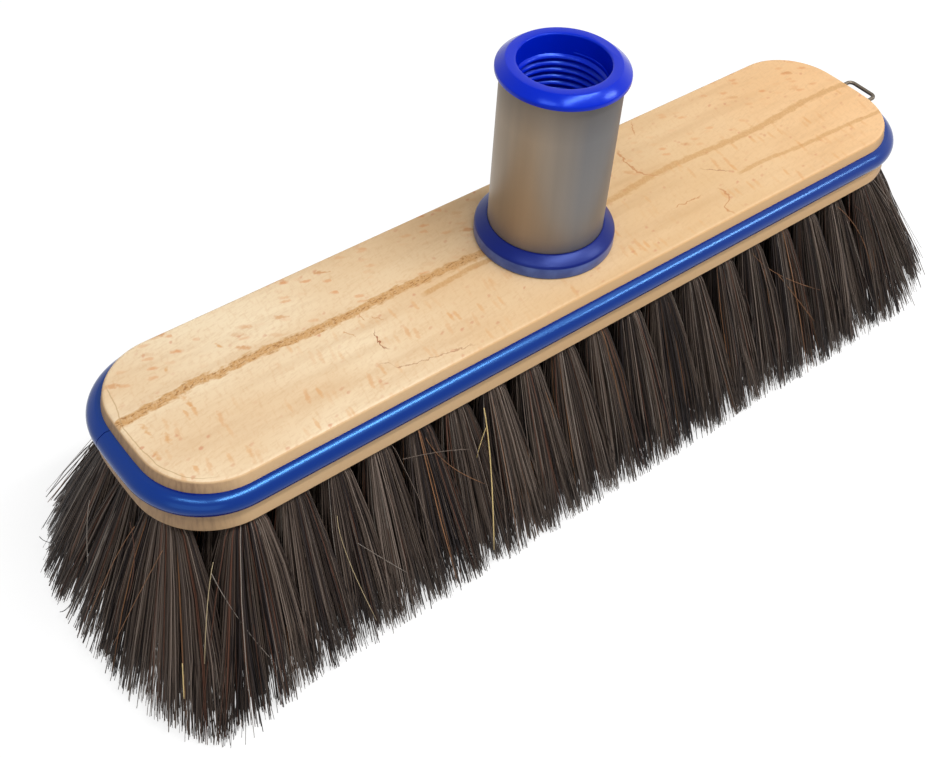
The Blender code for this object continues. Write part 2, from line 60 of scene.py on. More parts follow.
FLOOR_SIZE = 4.0
LAMP_AIM_HEIGHT = 0.05
# Lamps: name, width, depth, watts, place, and the X of the point that the lamp faces.
LAMPS = (
    ("key_soft_box", 1.3, 0.9, 4.0, (0.75, -0.55, 1.75), 0),
    ("front_strip", 0.95, 0.11, 9.7, (0.15, -0.51, 1.19), 0.15),
    ("right_strip", 0.50, 0.10, 3.6, (0.88, -0.58, 0.89), 0.88),
    ("left_strip", 0.45, 0.08, 1.6, (-0.62, -0.25, 1.15), -0.13),
    ("left_fill", 1.4, 1.0, 3.2, (-1.10, -0.90, 0.60), 0))


def linear(hex_colour):
    """An sRGB hex colour as the linear RGBA that sockets hold."""
    parts = [int(hex_colour[start:start + 2], 16) / 255 for start in (1, 3, 5)]
    return [
        part / 12.92 if part <= 0.04045 else ((part + 0.055) / 1.055) ** 2.4 for part in parts] + [1.0]


def add_node(tree, kind, settings=None, sockets=None):
    """Add a shader node, with its settings, and feed its sockets with values, nodes or other sockets."""
    node = tree.nodes.new("ShaderNode" + kind)
    for name, value in (settings or {}).items():
        setattr(node, name, value)
    for name, value in (sockets or {}).items():
        target = node.inputs[name] if isinstance(name, int) else next(
            item for item in node.inputs if item.enabled and item.name == name)
        if isinstance(value, bpy.types.Node):
            value = next(item for item in value.outputs if item.enabled)
        if isinstance(value, bpy.types.NodeSocket):
            tree.links.new(value, target)
        else:
            target.default_value = value
    return node


def new_material(name, **values):
    """A material with its node tree and its shader, and plain values set on the shader's sockets."""
    material = bpy.data.materials.new(name)
    material.use_nodes = True
    shader = material.node_tree.nodes["Principled BSDF"]
    for socket, value in values.items():
        shader.inputs[socket.replace("_", " ")].default_value = value
    return material, material.node_tree, shader


def seen_directly(tree):
    """Node that is 1 for what the camera, reflections and glass see, and 0 for light on other things."""
    rays = add_node(tree, "LightPath")
    seen = add_node(tree, "Math", {"operation": "MAXIMUM"}, {
        0: rays.outputs["Is Camera Ray"], 1: rays.outputs["Is Glossy Ray"]})
    return add_node(tree, "Math", {"operation": "MAXIMUM"}, {
        0: seen, 1: rays.outputs["Is Transmission Ray"]})


def light(name, width, depth, power, place, aim_x):
    """Rectangular lamp that faces a point over the block's long middle line."""
    lamp = bpy.data.lights.new(name, "AREA")
    lamp.shape = "RECTANGLE"
    lamp.size, lamp.size_y = width, depth
    lamp.energy = power
    box = bpy.data.objects.new(name, lamp)
    box.location = place
    aim = Vector((aim_x, 0, LAMP_AIM_HEIGHT))
    box.rotation_euler = (aim - Vector(place)).to_track_quat("-Z", "Y").to_euler()
    bpy.context.scene.collection.objects.link(box)


camera = bpy.data.objects.new("camera", bpy.data.cameras.new("camera"))
camera.data.lens = CAMERA_LENS_MM
camera.data.sensor_width = FILM_WIDTH_MM
camera.location = CAMERA_PLACE
camera.rotation_euler = [math.radians(turn) for turn in CAMERA_TURN_DEGREES]
bpy.context.scene.collection.objects.link(camera)
bpy.context.scene.camera = camera
bpy.context.scene.view_settings.view_transform = "Standard"

for lamp in LAMPS:
    light(*lamp)

world = bpy.data.worlds.new("studio")
world.use_nodes = True
bpy.context.scene.world = world
sky = world.node_tree
ambient = sky.nodes["Background"]
ambient.inputs["Color"].default_value = linear("#ffffff")
ambient.inputs["Strength"].default_value = AMBIENT_STRENGTH
seen = seen_directly(sky)
white = add_node(sky, "Background", {}, {"Color": linear("#ffffff"), "Strength": 1.0})
backdrop = add_node(sky, "MixShader", {}, {0: seen, 1: ambient, 2: white})
sky.links.new(backdrop.outputs[0], sky.nodes["World Output"].inputs["Surface"])

# Matt white board gives a soft, colourless ground with no gloss of its own. Its paint is held at grey and
# it glows, more where the camera and reflections see it, so that it shows white with a faint shadow.
FLOOR_GLOW = 0.26
FLOOR_LIFT = 0.48
board, tree, shader = new_material(
    "matt white board", Base_Color=linear("#989898"), Roughness=0.9, Specular_IOR_Level=0.0)
lift = add_node(tree, "Math", {"operation": "MULTIPLY_ADD"}, {
    0: seen_directly(tree), 1: FLOOR_LIFT, 2: FLOOR_GLOW})
shader.inputs["Emission Color"].default_value = linear("#ffffff")
tree.links.new(lift.outputs[0], shader.inputs["Emission Strength"])
bpy.ops.object.select_all(action="DESELECT")
bpy.ops.mesh.primitive_plane_add(size=FLOOR_SIZE)
floor = bpy.context.object
floor.name = "floor"
floor.data.materials.append(board)


# Beech block
# One piece of beech, moulded to shape and sanded: its walls lean in, the ends' more than the sides', and
# its top edge is rounded over. It has a groove for the bumper strip, a mortise for the socket, a hole for
# each tuft and two for the staple.
block_low, block_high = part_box("block")
half_length, half_width = block_high.x, block_high.y
underside, top = block_low.z, block_high.z
END_RADIUS = 0.2058
CORNER_RADIUS = 0.0224
WALL_LEAN = 0.0024
WALL_RISE = 0.0134
END_DRAW = 0.9925
TOP_EDGE_RADIUS = 0.0011
TOP_EDGE_STEPS = 6
UNDERSIDE_CHAMFER = 0.0005
CHAMFER_STEPS = 2
GROOVE_DROP = 0.0070
GROOVE_DEPTH = 0.0023
GROOVE_HEIGHT = 0.0067
MORTISE_RADIUS = 0.0163
MORTISE_DEPTH = 0.0073
MORTISE_SIDES = 64
HOLE_SIDES = 16
STAPLE_HOLE_RADIUS = 0.0008
STAPLE_HOLE_DEPTH = 0.0093
TUFT_HOLE_RADIUS = 0.0024
TUFT_HOLE_DEPTH = 0.0070
ROWS = 5
ROW_MARGIN = 0.0064
TUFT_PITCH = 0.01304
CUT_OVERRUN = 0.0020
END_STEPS = 10
CORNER_STEPS = 20
# Points closer than the weld are one, and so are faces that meet flatter than FLAT_DEGREES. Edges steeper
# than SHARP_DEGREES stay sharp.
WELD = 0.000002
FLAT_DEGREES = 0.02
SHARP_DEGREES = 35

end_centre_x = half_length - END_RADIUS
corner_centre_y = half_width - CORNER_RADIUS
corner_centre_x = end_centre_x + math.sqrt((END_RADIUS - CORNER_RADIUS) ** 2 - corner_centre_y ** 2)
end_angle = math.atan2(corner_centre_y, corner_centre_x - end_centre_x)
lean_angle = math.atan2(WALL_LEAN, WALL_RISE)


def wall_inset(height):
    """How far the leaning wall stands inside the underside's outline at a height."""
    return math.tan(lean_angle) * (height - underside)


def row_side(row):
    """Y of a row of tufts."""
    return (half_width - ROW_MARGIN) * (2 * row / (ROWS - 1) - 1)


def row_reach(side):
    """Largest |x| on a row at which a tuft keeps its margin to the block's edge."""
    end_reach, corner_reach = END_RADIUS - ROW_MARGIN, CORNER_RADIUS - ROW_MARGIN
    if abs(side) <= end_reach * math.sin(end_angle):
        return end_centre_x + math.sqrt(end_reach ** 2 - side ** 2)
    past_centre = min(abs(side) - corner_centre_y, corner_reach)
    return corner_centre_x + math.sqrt(corner_reach ** 2 - past_centre ** 2)


def row_tufts(row):
    """X of a row's tufts. Odd and even counts take turns, so the rows are staggered."""
    reach = row_reach(row_side(row))
    count = math.floor(2 * reach / TUFT_PITCH) + 1
    count -= count % 2 == row % 2
    return [reach * (2 * index / (count - 1) - 1) for index in range(count)]


def edit(piece=None):
    """Go into edit mode on a piece, or out of it."""
    if piece:
        bpy.context.view_layer.objects.active = piece
    bpy.ops.object.mode_set(mode="EDIT" if piece else "OBJECT")


def start_line(name, place):
    """New piece in edit mode that is one selected vertex, ready to be extruded or spun."""
    bpy.ops.object.select_all(action="DESELECT")
    bpy.ops.mesh.primitive_plane_add(size=WELD)
    piece = bpy.context.object
    piece.name = name
    edit(piece)
    bpy.ops.mesh.select_mode(type="VERT")
    bpy.ops.mesh.select_all(action="SELECT")
    bpy.ops.mesh.merge(type="CENTER")
    bpy.ops.transform.translate(value=place)
    return piece


def pick(kind, test):
    """In edit mode, select only the vertices, edges or faces whose middle passes a test."""
    bpy.ops.mesh.select_mode(type=kind)
    bpy.ops.mesh.select_all(action="DESELECT")
    mesh = bpy.context.object.data
    shape = bmesh.from_edit_mesh(mesh)
    for item in {"VERT": shape.verts, "EDGE": shape.edges, "FACE": shape.faces}[kind]:
        points = [item.co] if kind == "VERT" else [corner.co for corner in item.verts]
        if test(sum(points, Vector()) / len(points)):
            item.select_set(True)
    shape.select_flush_mode()
    bmesh.update_edit_mesh(mesh)


def close_up():
    """Weld a piece's seams, turn its faces outwards and leave edit mode."""
    bpy.ops.mesh.select_all(action="SELECT")
    bpy.ops.mesh.remove_doubles(threshold=WELD)
    bpy.ops.mesh.normals_make_consistent(inside=False)
    edit()


def finish_with(piece, kind, **settings):
    """Give a piece a modifier and apply it."""
    modifier = piece.modifiers.new(kind.lower(), kind)
    for name, value in settings.items():
        setattr(modifier, name, value)
    bpy.context.view_layer.objects.active = piece
    bpy.ops.object.modifier_apply(modifier=modifier.name)


def draw_outline(name, grow, height):
    """Upward face with the block's outline: a quarter in three strokes, mirrored twice and filled."""
    piece = start_line(name, (half_length + grow, 0, height))
    for steps, turn, x, y in (
            (END_STEPS, end_angle, end_centre_x, 0),
            (CORNER_STEPS, math.pi / 2 - end_angle, corner_centre_x, -corner_centre_y)):
        bpy.ops.mesh.spin(steps=steps, angle=turn, center=(x, y, height), axis=(0, 0, 1))
    bpy.ops.mesh.extrude_region_move(TRANSFORM_OT_translate={"value": (-corner_centre_x, 0, 0)})
    edit()
    finish_with(piece, "MIRROR", use_axis=(True, True, False), merge_threshold=WELD)
    edit(piece)
    bpy.ops.mesh.select_all(action="SELECT")
    bpy.ops.mesh.remove_doubles(threshold=WELD)
    bpy.ops.mesh.edge_face_add()
    shape = bmesh.from_edit_mesh(piece.data)
    shape.faces.ensure_lookup_table()
    if shape.faces[0].normal.z < 0:
        bpy.ops.mesh.flip_normals()
    bpy.ops.mesh.select_mode(type="FACE")
    return piece


def drill(radius, length, middle, sides=HOLE_SIDES, turn=(0, 0, 0)):
    """Round cutter about its middle."""
    bpy.ops.mesh.primitive_cylinder_add(
        vertices=sides, radius=radius, depth=length, location=middle, rotation=turn)
    return bpy.context.object


def cut(piece, cutters):
    """Cut a piece with cutters joined into one, clear them away, and merge faces that lie flat."""
    bpy.ops.object.select_all(action="DESELECT")
    for cutter in cutters:
        cutter.select_set(True)
    bpy.context.view_layer.objects.active = cutters[0]
    if len(cutters) > 1:
        bpy.ops.object.join()
    finish_with(piece, "BOOLEAN", operation="DIFFERENCE", solver="EXACT", object=cutters[0])
    bpy.data.objects.remove(cutters[0], do_unlink=True)
    edit(piece)
    bpy.ops.mesh.select_all(action="SELECT")
    bpy.ops.mesh.dissolve_limited(angle_limit=math.radians(FLAT_DEGREES))
    edit()


def hand_over(piece, material, slot, *nodes):
    """Shade a piece, give it its material and put it in the CAD nodes' place."""
    bpy.ops.object.select_all(action="DESELECT")
    piece.select_set(True)
    bpy.context.view_layer.objects.active = piece
    bpy.ops.object.shade_smooth_by_angle(angle=math.radians(SHARP_DEGREES))
    piece.data.materials.clear()
    piece.data.materials.append(material)
    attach(piece, "root")
    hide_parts(*nodes)


# The inset makes the leaning walls, and drawing the top in along X makes the ends lean more.
block = draw_outline("beech_block", 0, underside)
bpy.ops.mesh.inset(thickness=wall_inset(top), depth=top - underside)
bpy.ops.transform.resize(value=(END_DRAW, 1, 1), center_override=(0, 0, 0))
pick("EDGE", lambda middle: middle.z > top - WELD)
top_edge_width = TOP_EDGE_RADIUS * math.tan((math.pi / 2 - lean_angle) / 2)
bpy.ops.mesh.bevel(offset=top_edge_width, segments=TOP_EDGE_STEPS, affect="EDGES")
pick("EDGE", lambda middle: middle.z < underside + WELD)
bpy.ops.mesh.edge_face_add()
pick("EDGE", lambda middle: middle.z < underside + WELD)
bpy.ops.mesh.bevel(offset=UNDERSIDE_CHAMFER, segments=CHAMFER_STEPS, affect="EDGES")
close_up()

groove_z = top - GROOVE_DROP
groove = draw_outline("groove_cutter", CUT_OVERRUN, groove_z - GROOVE_HEIGHT / 2)
bpy.ops.mesh.inset(thickness=CUT_OVERRUN + wall_inset(groove_z) + GROOVE_DEPTH, depth=0)
bpy.ops.mesh.delete(type="FACE")
bpy.ops.mesh.select_all(action="SELECT")
bpy.ops.mesh.extrude_region_move(TRANSFORM_OT_translate={"value": (0, 0, GROOVE_HEIGHT)})
close_up()

staple_low, staple_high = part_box("hanging_staple")
staple_z = (staple_low.z + staple_high.z) / 2
wire_radius = (staple_high.z - staple_low.z) / 2
staple_legs = (staple_low.y + wire_radius, staple_high.y - wire_radius)
end_wall_x = half_length - wall_inset(staple_z)
cutters = [groove, drill(MORTISE_RADIUS, 2 * MORTISE_DEPTH, (0, 0, top), MORTISE_SIDES)]
cutters += [
    drill(TUFT_HOLE_RADIUS, 2 * TUFT_HOLE_DEPTH, (x, row_side(row), underside))
    for row in range(ROWS) for x in row_tufts(row)]
cutters += [
    drill(STAPLE_HOLE_RADIUS, 2 * STAPLE_HOLE_DEPTH, (end_wall_x, leg, staple_z),
          turn=(0, math.pi / 2, 0))
    for leg in staple_legs]
cut(block, cutters)


# Planed and sanded beech is pale and pinkish, with short darker ray flecks and hardly any shine. This
# board has brown streaks of old wood along it, fine red-brown cracks in its face, one growth ring round
# the end without the staple, and greyer end grain, deepened with painted shade. Its walls are painted
# darker than its top as painted shade.
HEARTWOOD = "#c6975f"
OLD_SPLIT = "#9c5a34"
FINE_SPLIT = "#c48a58"
EDGE_RING = "#b8976c"
RAY_FLECK = "#d39a5e"
WORN_EDGE = "#d2a067"
# The walls' paint is painted shade, and the end grain's paint is partly painted shade.
SIDE_WALL_SHADE = "#c8a274"
END_GRAIN_AND_SHADE = "#98795a"
END_STRIPE = "#7b6049"
PORE = "#946431"
# A mark is (paint, strength, half its width, axis that it follows, points), and a point is (place along
# the mark, place beside it), all in mm on the block's top.
STREAKS = (
    (HEARTWOOD, 0.95, 1.45, "X", (
        (-138, 4.4), (-129, 4.9), (-118, 5.5), (-112, 6.2), (-106, 5.3), (-99, 5.6), (-90, 5.3),
        (-73, 4.1), (-56, 4.2), (-47, 4.4), (-42, 3.8), (-32, 3.6), (-17, 2.7))),
    (HEARTWOOD, 0.80, 0.90, "X", ((-46, -1.6), (-45, -1.3), (-36, -0.7), (-28, -0.1), (-17, -1.2))),
    (HEARTWOOD, 0.78, 1.15, "X", (
        (17, -0.3), (26, -0.3), (51, 1.4), (68, 0.6), (89, -0.1), (120, 1.3), (138, -1.7))),
    (HEARTWOOD, 0.72, 0.75, "X", ((68, -13.4), (81, -13.5), (97, -14.9), (114, -15.6), (136, -17.2))),
)
CRACKS = (
    (OLD_SPLIT, 0.9, 0.22, "Y", ((-13.5, -64.4), (-11.5, -65.7), (-8.4, -65.5), (-4.1, -63.7))),
    (OLD_SPLIT, 0.5, 0.18, "X", (
        (-71.0, -16.0), (-68.0, -17.0), (-67.2, -19.6), (-65.0, -20.5), (-56.1, -22.3), (-44.8, -24.8))),
    (FINE_SPLIT, 0.8, 0.18, "Y", ((-0.5, -64.3), (3.0, -63.7))),
    (FINE_SPLIT, 0.8, 0.18, "Y", ((-3.3, -59.7), (0.2, -61.7))),
    (FINE_SPLIT, 0.8, 0.18, "Y", ((-4.2, -69.6), (-0.1, -71.4))),
    (FINE_SPLIT, 0.9, 0.34, "Y", ((-1.0, 52.7), (4.2, 43.4), (8.2, 42.9), (17.5, 45.5))),
    (OLD_SPLIT, 0.7, 0.24, "X", ((60.3, -4.9), (64.7, -8.5), (68.3, -11.5))),
    (FINE_SPLIT, 0.9, 0.34, "Y", (
        (-27.0, 54.0), (-23.1, 53.3), (-19.9, 57.9), (-14.8, 58.2), (-14.0, 52.8))),
    (FINE_SPLIT, 0.9, 0.24, "X", ((39.5, -13.6), (52.1, -14.8))),
    (FINE_SPLIT, 0.9, 0.24, "Y", ((19.2, 54.9), (25.9, 59.4))),
)
RING = (
    (-25.0, -121.0), (-23.5, -125.5), (-20.5, -129.5), (-17.3, -131.6), (-11.7, -133.9), (-1.6, -134.9),
    (9.9, -133.4), (18.4, -131.4))
RING_REACH = 0.16
# A big fleck is (middle, half its sizes in X and Y, turn in degrees), in mm.
BIG_FLECKS = (
    ((-117.7, 1.0), (0.9, 3.9), 4), ((-130.8, -0.4), (0.9, 3.3), 2), ((-127.8, -6.3), (1.0, 3.0), -5),
    ((-132.7, -9.5), (0.8, 2.2), 0), ((-116.6, 14.2), (0.8, 1.8), -30), ((-101.0, 14.0), (0.7, 2.0), 20))
# Mottling of the board, broad to fine: size in mm, detail, turn, low, high, paint, strength.
MOTTLING = (
    ((45, 5, 20), 3, 0, 0.50, 0.74, "#b98a5a", 0.26),
    ((45, 1.1, 1.1), 4, 0, 0.50, 0.75, "#d9b98e", 0.16),
    ((2.2, 0.6, 0.6), 3, 12, 0.50, 0.80, "#cda57a", 0.40),
    ((1.0, 3.0, 1.0), 3, -14, 0.52, 0.80, "#d0a273", 0.35))
# A mark's edge fades over this share of its reach, and its ends over this length or share of the mark.
EDGE_FADE = 0.3
TAIL_MM = 2.5
TAIL_SHARE = 0.25
# Flecks go right through the board. A dash fades out over all but this share of its reach.
THROUGH_MM = 100
DASH_CORE = 0.4
SPOT_FRAY = 4.0
PORES_REACH = 1.2

beech, tree, shader = new_material("planed beech", Roughness=0.55, Specular_IOR_Level=0.35)
surface = add_node(tree, "TexCoord")
mm = add_node(tree, "VectorMath", {"operation": "SCALE"}, {0: surface.outputs["Object"], "Scale": 1000.0})
mm = mm.outputs["Vector"]
axes = add_node(tree, "SeparateXYZ", {}, {0: mm})
facing = add_node(tree, "SeparateXYZ", {}, {0: surface.outputs["Normal"]})


def grain(size, detail=3.0, turn=0.0):
    """Cloudy pattern whose patches have a size in mm along each axis, after a turn about Z in degrees."""
    place = add_node(tree, "Mapping", {"vector_type": "TEXTURE"}, {
        "Vector": mm, "Rotation": (0, 0, math.radians(turn)), "Scale": size})
    clouds = add_node(tree, "TexNoise", {}, {"Vector": place, "Scale": 1.0, "Detail": detail})
    return clouds.outputs[0]


def ramp_to(value, low, high, start=0.0, end=1.0):
    """Straight ramp of a value between two limits."""
    return add_node(tree, "MapRange", {}, {
        "Value": value, "From Min": low, "From Max": high, "To Min": start, "To Max": end})


def paint_over(colour, mask, paint, strength=1.0):
    """Lay a paint over a colour where a mask says so."""
    mask = add_node(tree, "Math", {"operation": "MULTIPLY", "use_clamp": True}, {0: mask, 1: strength})
    return add_node(tree, "Mix", {"data_type": "RGBA"}, {"Factor": mask, "A": colour, "B": linear(paint)})


def blend(mask, paint, other):
    """One paint that turns into another where a mask says so."""
    return add_node(tree, "Mix", {"data_type": "RGBA"}, {
        "Factor": mask, "A": linear(paint), "B": linear(other)})


def both(mask, other):
    """Mask that shows where two masks do."""
    return add_node(tree, "Math", {"operation": "MULTIPLY"}, {0: mask, 1: other})


def mark(points, run, side, reach, waver, sway):
    """Mask of a mark through (along, aside) points in mm. Patterns waver its edges and sway its line."""
    first, last = points[0][0], points[-1][0]
    low, high = min(aside for _, aside in points) - 1, max(aside for _, aside in points) + 1
    along = ramp_to(axes.outputs[run], first, last)
    line = add_node(tree, "FloatCurve", {}, {"Value": along})
    curve = line.mapping.curves[0]
    ends = ((0, points[0][1]), (1, points[-1][1]))
    for point, (share, aside) in zip(curve.points, ends):
        point.location = (share, (aside - low) / (high - low))
    for place, aside in points[1:-1]:
        curve.points.new((place - first) / (last - first), (aside - low) / (high - low))
    line.mapping.update()
    middle = ramp_to(line, 0, 1, low, high)
    off = add_node(tree, "Math", {"operation": "SUBTRACT"}, {0: axes.outputs[side], 1: middle})
    off = add_node(tree, "Math", {"operation": "ADD"}, {0: off, 1: sway})
    off = add_node(tree, "Math", {"operation": "ABSOLUTE"}, {0: off})
    off = add_node(tree, "Math", {"operation": "MULTIPLY_ADD"}, {0: waver, 1: reach, 2: off})
    body = ramp_to(off, (1 + EDGE_FADE) * reach, (1 - EDGE_FADE) * reach)
    tails = add_node(tree, "Math", {"operation": "PINGPONG"}, {0: along, 1: 0.5})
    tails = ramp_to(tails, 0, min(TAIL_SHARE, TAIL_MM / (last - first)))
    return both(body, tails)


def flecks(size, turn, share, core):
    """Mask of scattered dashes, one to a cell of a size in mm, in a share of the cells."""
    place = add_node(tree, "Mapping", {"vector_type": "TEXTURE"}, {
        "Vector": mm, "Rotation": (0, 0, math.radians(turn)), "Scale": (*size, THROUGH_MM)})
    cells = add_node(tree, "TexVoronoi", {"voronoi_dimensions": "2D"}, {"Vector": place, "Scale": 1.0})
    chosen = add_node(tree, "SeparateColor", {}, {0: cells.outputs["Color"]})
    drawn = ramp_to(chosen.outputs[0], 1 - share, 1.0)
    distance = add_node(tree, "Math", {"operation": "ADD"}, {0: cells.outputs["Distance"], 1: fray})
    return both(ramp_to(distance, core, DASH_CORE * core), drawn)


def spot(place, reach, turn):
    """Mask of one oval fleck with frayed edges: place and reaches in mm and a turn in degrees."""
    inside = add_node(tree, "Mapping", {"vector_type": "TEXTURE"}, {
        "Vector": mm, "Location": (*place, 0), "Rotation": (0, 0, math.radians(turn)),
        "Scale": (*reach, THROUGH_MM)})
    distance = add_node(tree, "VectorMath", {"operation": "LENGTH"}, {0: inside}).outputs["Value"]
    distance = add_node(tree, "Math", {"operation": "MULTIPLY_ADD"}, {0: fray, 1: SPOT_FRAY, 2: distance})
    return ramp_to(distance, 1.1, 0.5)


fray = ramp_to(grain((1.3, 1.3, 1.3), 4), 0.25, 0.75, -0.12, 0.12)
upper = ramp_to(facing.outputs["Z"], 0.45, 0.80)
near_side = ramp_to(axes.outputs["Y"], 6, 1)
far_side = ramp_to(axes.outputs["Y"], 2, 7)
colour = blend(ramp_to(grain((60, 22, 30)), 0.35, 0.65), "#eed9b7", "#e1c39c")
colour = paint_over(colour, ramp_to(axes.outputs["X"], -90, 10), "#d6ab74", 0.58)
colour = paint_over(colour, ramp_to(axes.outputs["X"], 60, 130), "#f0be88", 0.60)
for size, detail, turn, low, high, paint, strength in MOTTLING:
    colour = paint_over(colour, ramp_to(grain(size, detail, turn), low, high), paint, strength)

# Ray flecks lie in patches on the top, with another slant on the near side than on the far side: cell size
# in mm, turn, share of the cells, reach of a dash in cells, paint, strength, side.
patches = ramp_to(grain((28, 16, 16), 2), 0.34, 0.52)
for size, turn, share, core, paint, strength, side in (
        ((6.5, 2.8), -20, 0.50, 0.30, "#d58f58", 0.75, far_side),
        ((9.0, 2.4), 82, 0.40, 0.30, "#d69a5c", 0.60, near_side),
        ((13.0, 3.0), 74, 0.30, 0.27, "#d2945a", 0.50, near_side),
        ((4.0, 2.6), 20, 0.25, 0.22, "#c98160", 0.60, 1.0),
        ((11.0, 4.2), -30, 0.30, 0.24, "#c98a52", 0.75, far_side)):
    mask = both(both(flecks(size, turn, share, core), side), patches)
    colour = paint_over(colour, both(mask, upper), paint, strength)
for place, reach, turn in BIG_FLECKS:
    colour = paint_over(colour, both(spot(place, reach, turn), upper), RAY_FLECK, 0.75)

# Streaks have ragged edges and fibres in them, cracks wander, the ring drifts, and dark pores dot the
# longest streak.
fibre = ramp_to(grain((0.6, 1.3, 1.0), 2, -25), 0.30, 0.55, 0.60, 1.0)
ragged = ramp_to(grain((3.0, 1.0, 1.0), 3), 0.0, 1.0, -1.2, 1.2)
sway = ramp_to(grain((1.8, 1.8, 1.8), 3), 0.0, 1.0, -1.5, 1.5)
for marks, waver, shift, texture in ((STREAKS, ragged, 0.0, fibre), (CRACKS, 0.0, sway, 1.0)):
    for paint, strength, reach, run, points in marks:
        mask = mark(points, run, "Y" if run == "X" else "X", reach, waver, shift)
        colour = paint_over(colour, both(both(mask, upper), texture), paint, strength)
drift = ramp_to(grain((7, 7, 7), 2), 0.0, 1.0, -1.0, 1.0)
ring = mark(RING, "Y", "X", RING_REACH, 0.0, drift)
colour = paint_over(colour, both(ring, upper), EDGE_RING, 0.65)
pores = ramp_to(grain((1.1, 0.4, 0.4), 1, 5), 0.56, 0.66)
heart = mark(STREAKS[0][4], "X", "Y", PORES_REACH, ragged, 0.0)
colour = paint_over(colour, both(pores, heart), PORE, 0.80)

# The rim is worn. The walls are painted darker and browner than the top as painted shade, and the ends
# show striped end grain, painted darker still as end grain and painted shade.
rim = add_node(tree, "Math", {"operation": "COMPARE"}, {0: facing.outputs["Z"], 1: 0.55, 2: 0.22})
colour = paint_over(colour, rim, WORN_EDGE, 0.45)
wall = ramp_to(facing.outputs["Z"], 0.75, 0.30)
end = add_node(tree, "Math", {"operation": "ABSOLUTE"}, {0: facing.outputs["X"]})
end = both(ramp_to(end, 0.10, 0.65), wall)
# Painted shade: the walls darker than the top, and the ends darker still.
colour = paint_over(colour, wall, SIDE_WALL_SHADE, 0.76)
colour = paint_over(colour, end, END_GRAIN_AND_SHADE, 0.76)
stripes = ramp_to(grain((0.9, 0.9, 22), 3), 0.42, 0.72)
colour = paint_over(colour, both(stripes, end), END_STRIPE, 0.60)
tree.links.new(colour.outputs["Result"], shader.inputs["Base Color"])
hand_over(block, beech, "beech", "block")


# Bumper strip
# One length of glossy blue vinyl, extruded with a round nose and flatter shoulders, and pressed into the
# groove round the block. Its ends meet in a butt joint at the end without the staple.
# Half of the face is arcs from the nose up: (radius, angle where the arc ends in degrees, steps).
BUMPER_ARCS = ((0.0029, 48, 6), (0.0060, 66, 4), (0.0020, 76, 2))
BUMPER_SEAT_DEPTH = 0.0020
JOINT_SHARE = 0.88
JOINT_GAP = 0.0002

insets, here = [], 0
for reach, last_turn, steps in BUMPER_ARCS:
    turn = (math.radians(last_turn) - here) / steps
    for _ in range(steps):
        insets.append((reach * (math.cos(here) - math.cos(here + turn)),
                       reach * (math.sin(here + turn) - math.sin(here))))
        here += turn
bumper_proud, half_height = (sum(values) for values in zip(*insets))
bumper = draw_outline("bumper_vinyl_strip", bumper_proud - wall_inset(groove_z), 0)
for thickness, rise in insets:
    bpy.ops.mesh.inset(thickness=thickness, depth=rise)
bpy.ops.mesh.inset(thickness=BUMPER_SEAT_DEPTH, depth=0)
bpy.ops.mesh.inset(thickness=0, depth=-half_height)
bpy.ops.mesh.delete(type="FACE")
edit()
finish_with(bumper, "MIRROR", use_axis=(False, False, True), merge_threshold=WELD)
edit(bumper)
bpy.ops.mesh.select_all(action="SELECT")
bpy.ops.transform.translate(value=(0, 0, groove_z))
close_up()
joint_turn = math.pi - end_angle * JOINT_SHARE
joint_x = END_RADIUS * math.cos(joint_turn) - end_centre_x
joint_y = END_RADIUS * math.sin(joint_turn)
bpy.ops.mesh.primitive_cube_add(
    size=1, scale=(4 * half_height, JOINT_GAP, 4 * half_height), rotation=(0, 0, joint_turn),
    location=(joint_x, joint_y, groove_z))
cut(bumper, [bpy.context.object])

# Vinyl is coloured right through and comes smooth from the die: a deep blue under a clear, narrow shine.
vinyl, tree, shader = new_material(
    "glossy blue vinyl", Base_Color=linear("#001470"), Roughness=0.20, Specular_IOR_Level=1.0,
    Specular_Tint=linear("#6cb6ff"))
hand_over(bumper, vinyl, "bumper_vinyl", "bumper_strip")


# Threaded insert
# Blue plastic core of the handle socket, moulded with a flange over the sleeve and a bore that has a
# coarse right-handed thread for the handle. Its foot stands in the block's mortise.
insert_low, insert_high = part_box("threaded_insert")
CORE_RADIUS = 0.01565
SPIGOT_CHAMFER = 0.0008
FLANGE_RADIUS = 0.01835
FLANGE_LIP = 0.0012
FLANGE_CONE = 0.0022
BORE_RADIUS = 0.0127
BORE_DEPTH = 0.0568
MOUTH_ROUNDING = 0.0006
MOUTH_STEPS = 4
RIM_ROUNDING = 0.0003
EDGE_ROUNDING = 0.0002
EDGE_STEPS = 3
THREAD_PITCH = 0.0021
THREAD_TURNS = 11
THREAD_END_DEPTH = 0.0052
THREAD_END_DEGREES = 35
THREAD_FADE_TURNS = 0.6
# The ridge's foot is set this deep in the bore's wall. Its outline goes up in steps of (distance towards
# the axis, share of the pitch up), and RIDGE_HALF_SHARE is half of all the shares.
RIDGE_SEAT = 0.0001
RIDGE_OUTLINE = (
    (0.0006, 0.22), (0.0003, 0.13), (0.0001, 0.11), (-0.0001, 0.11), (-0.0003, 0.13), (-0.0006, 0.22))
RIDGE_HALF_SHARE = 0.46
SCREW_HOLE_RADIUS = 0.0022
SCREW_HOLE_SIDES = 24
TURN_STEPS = 96


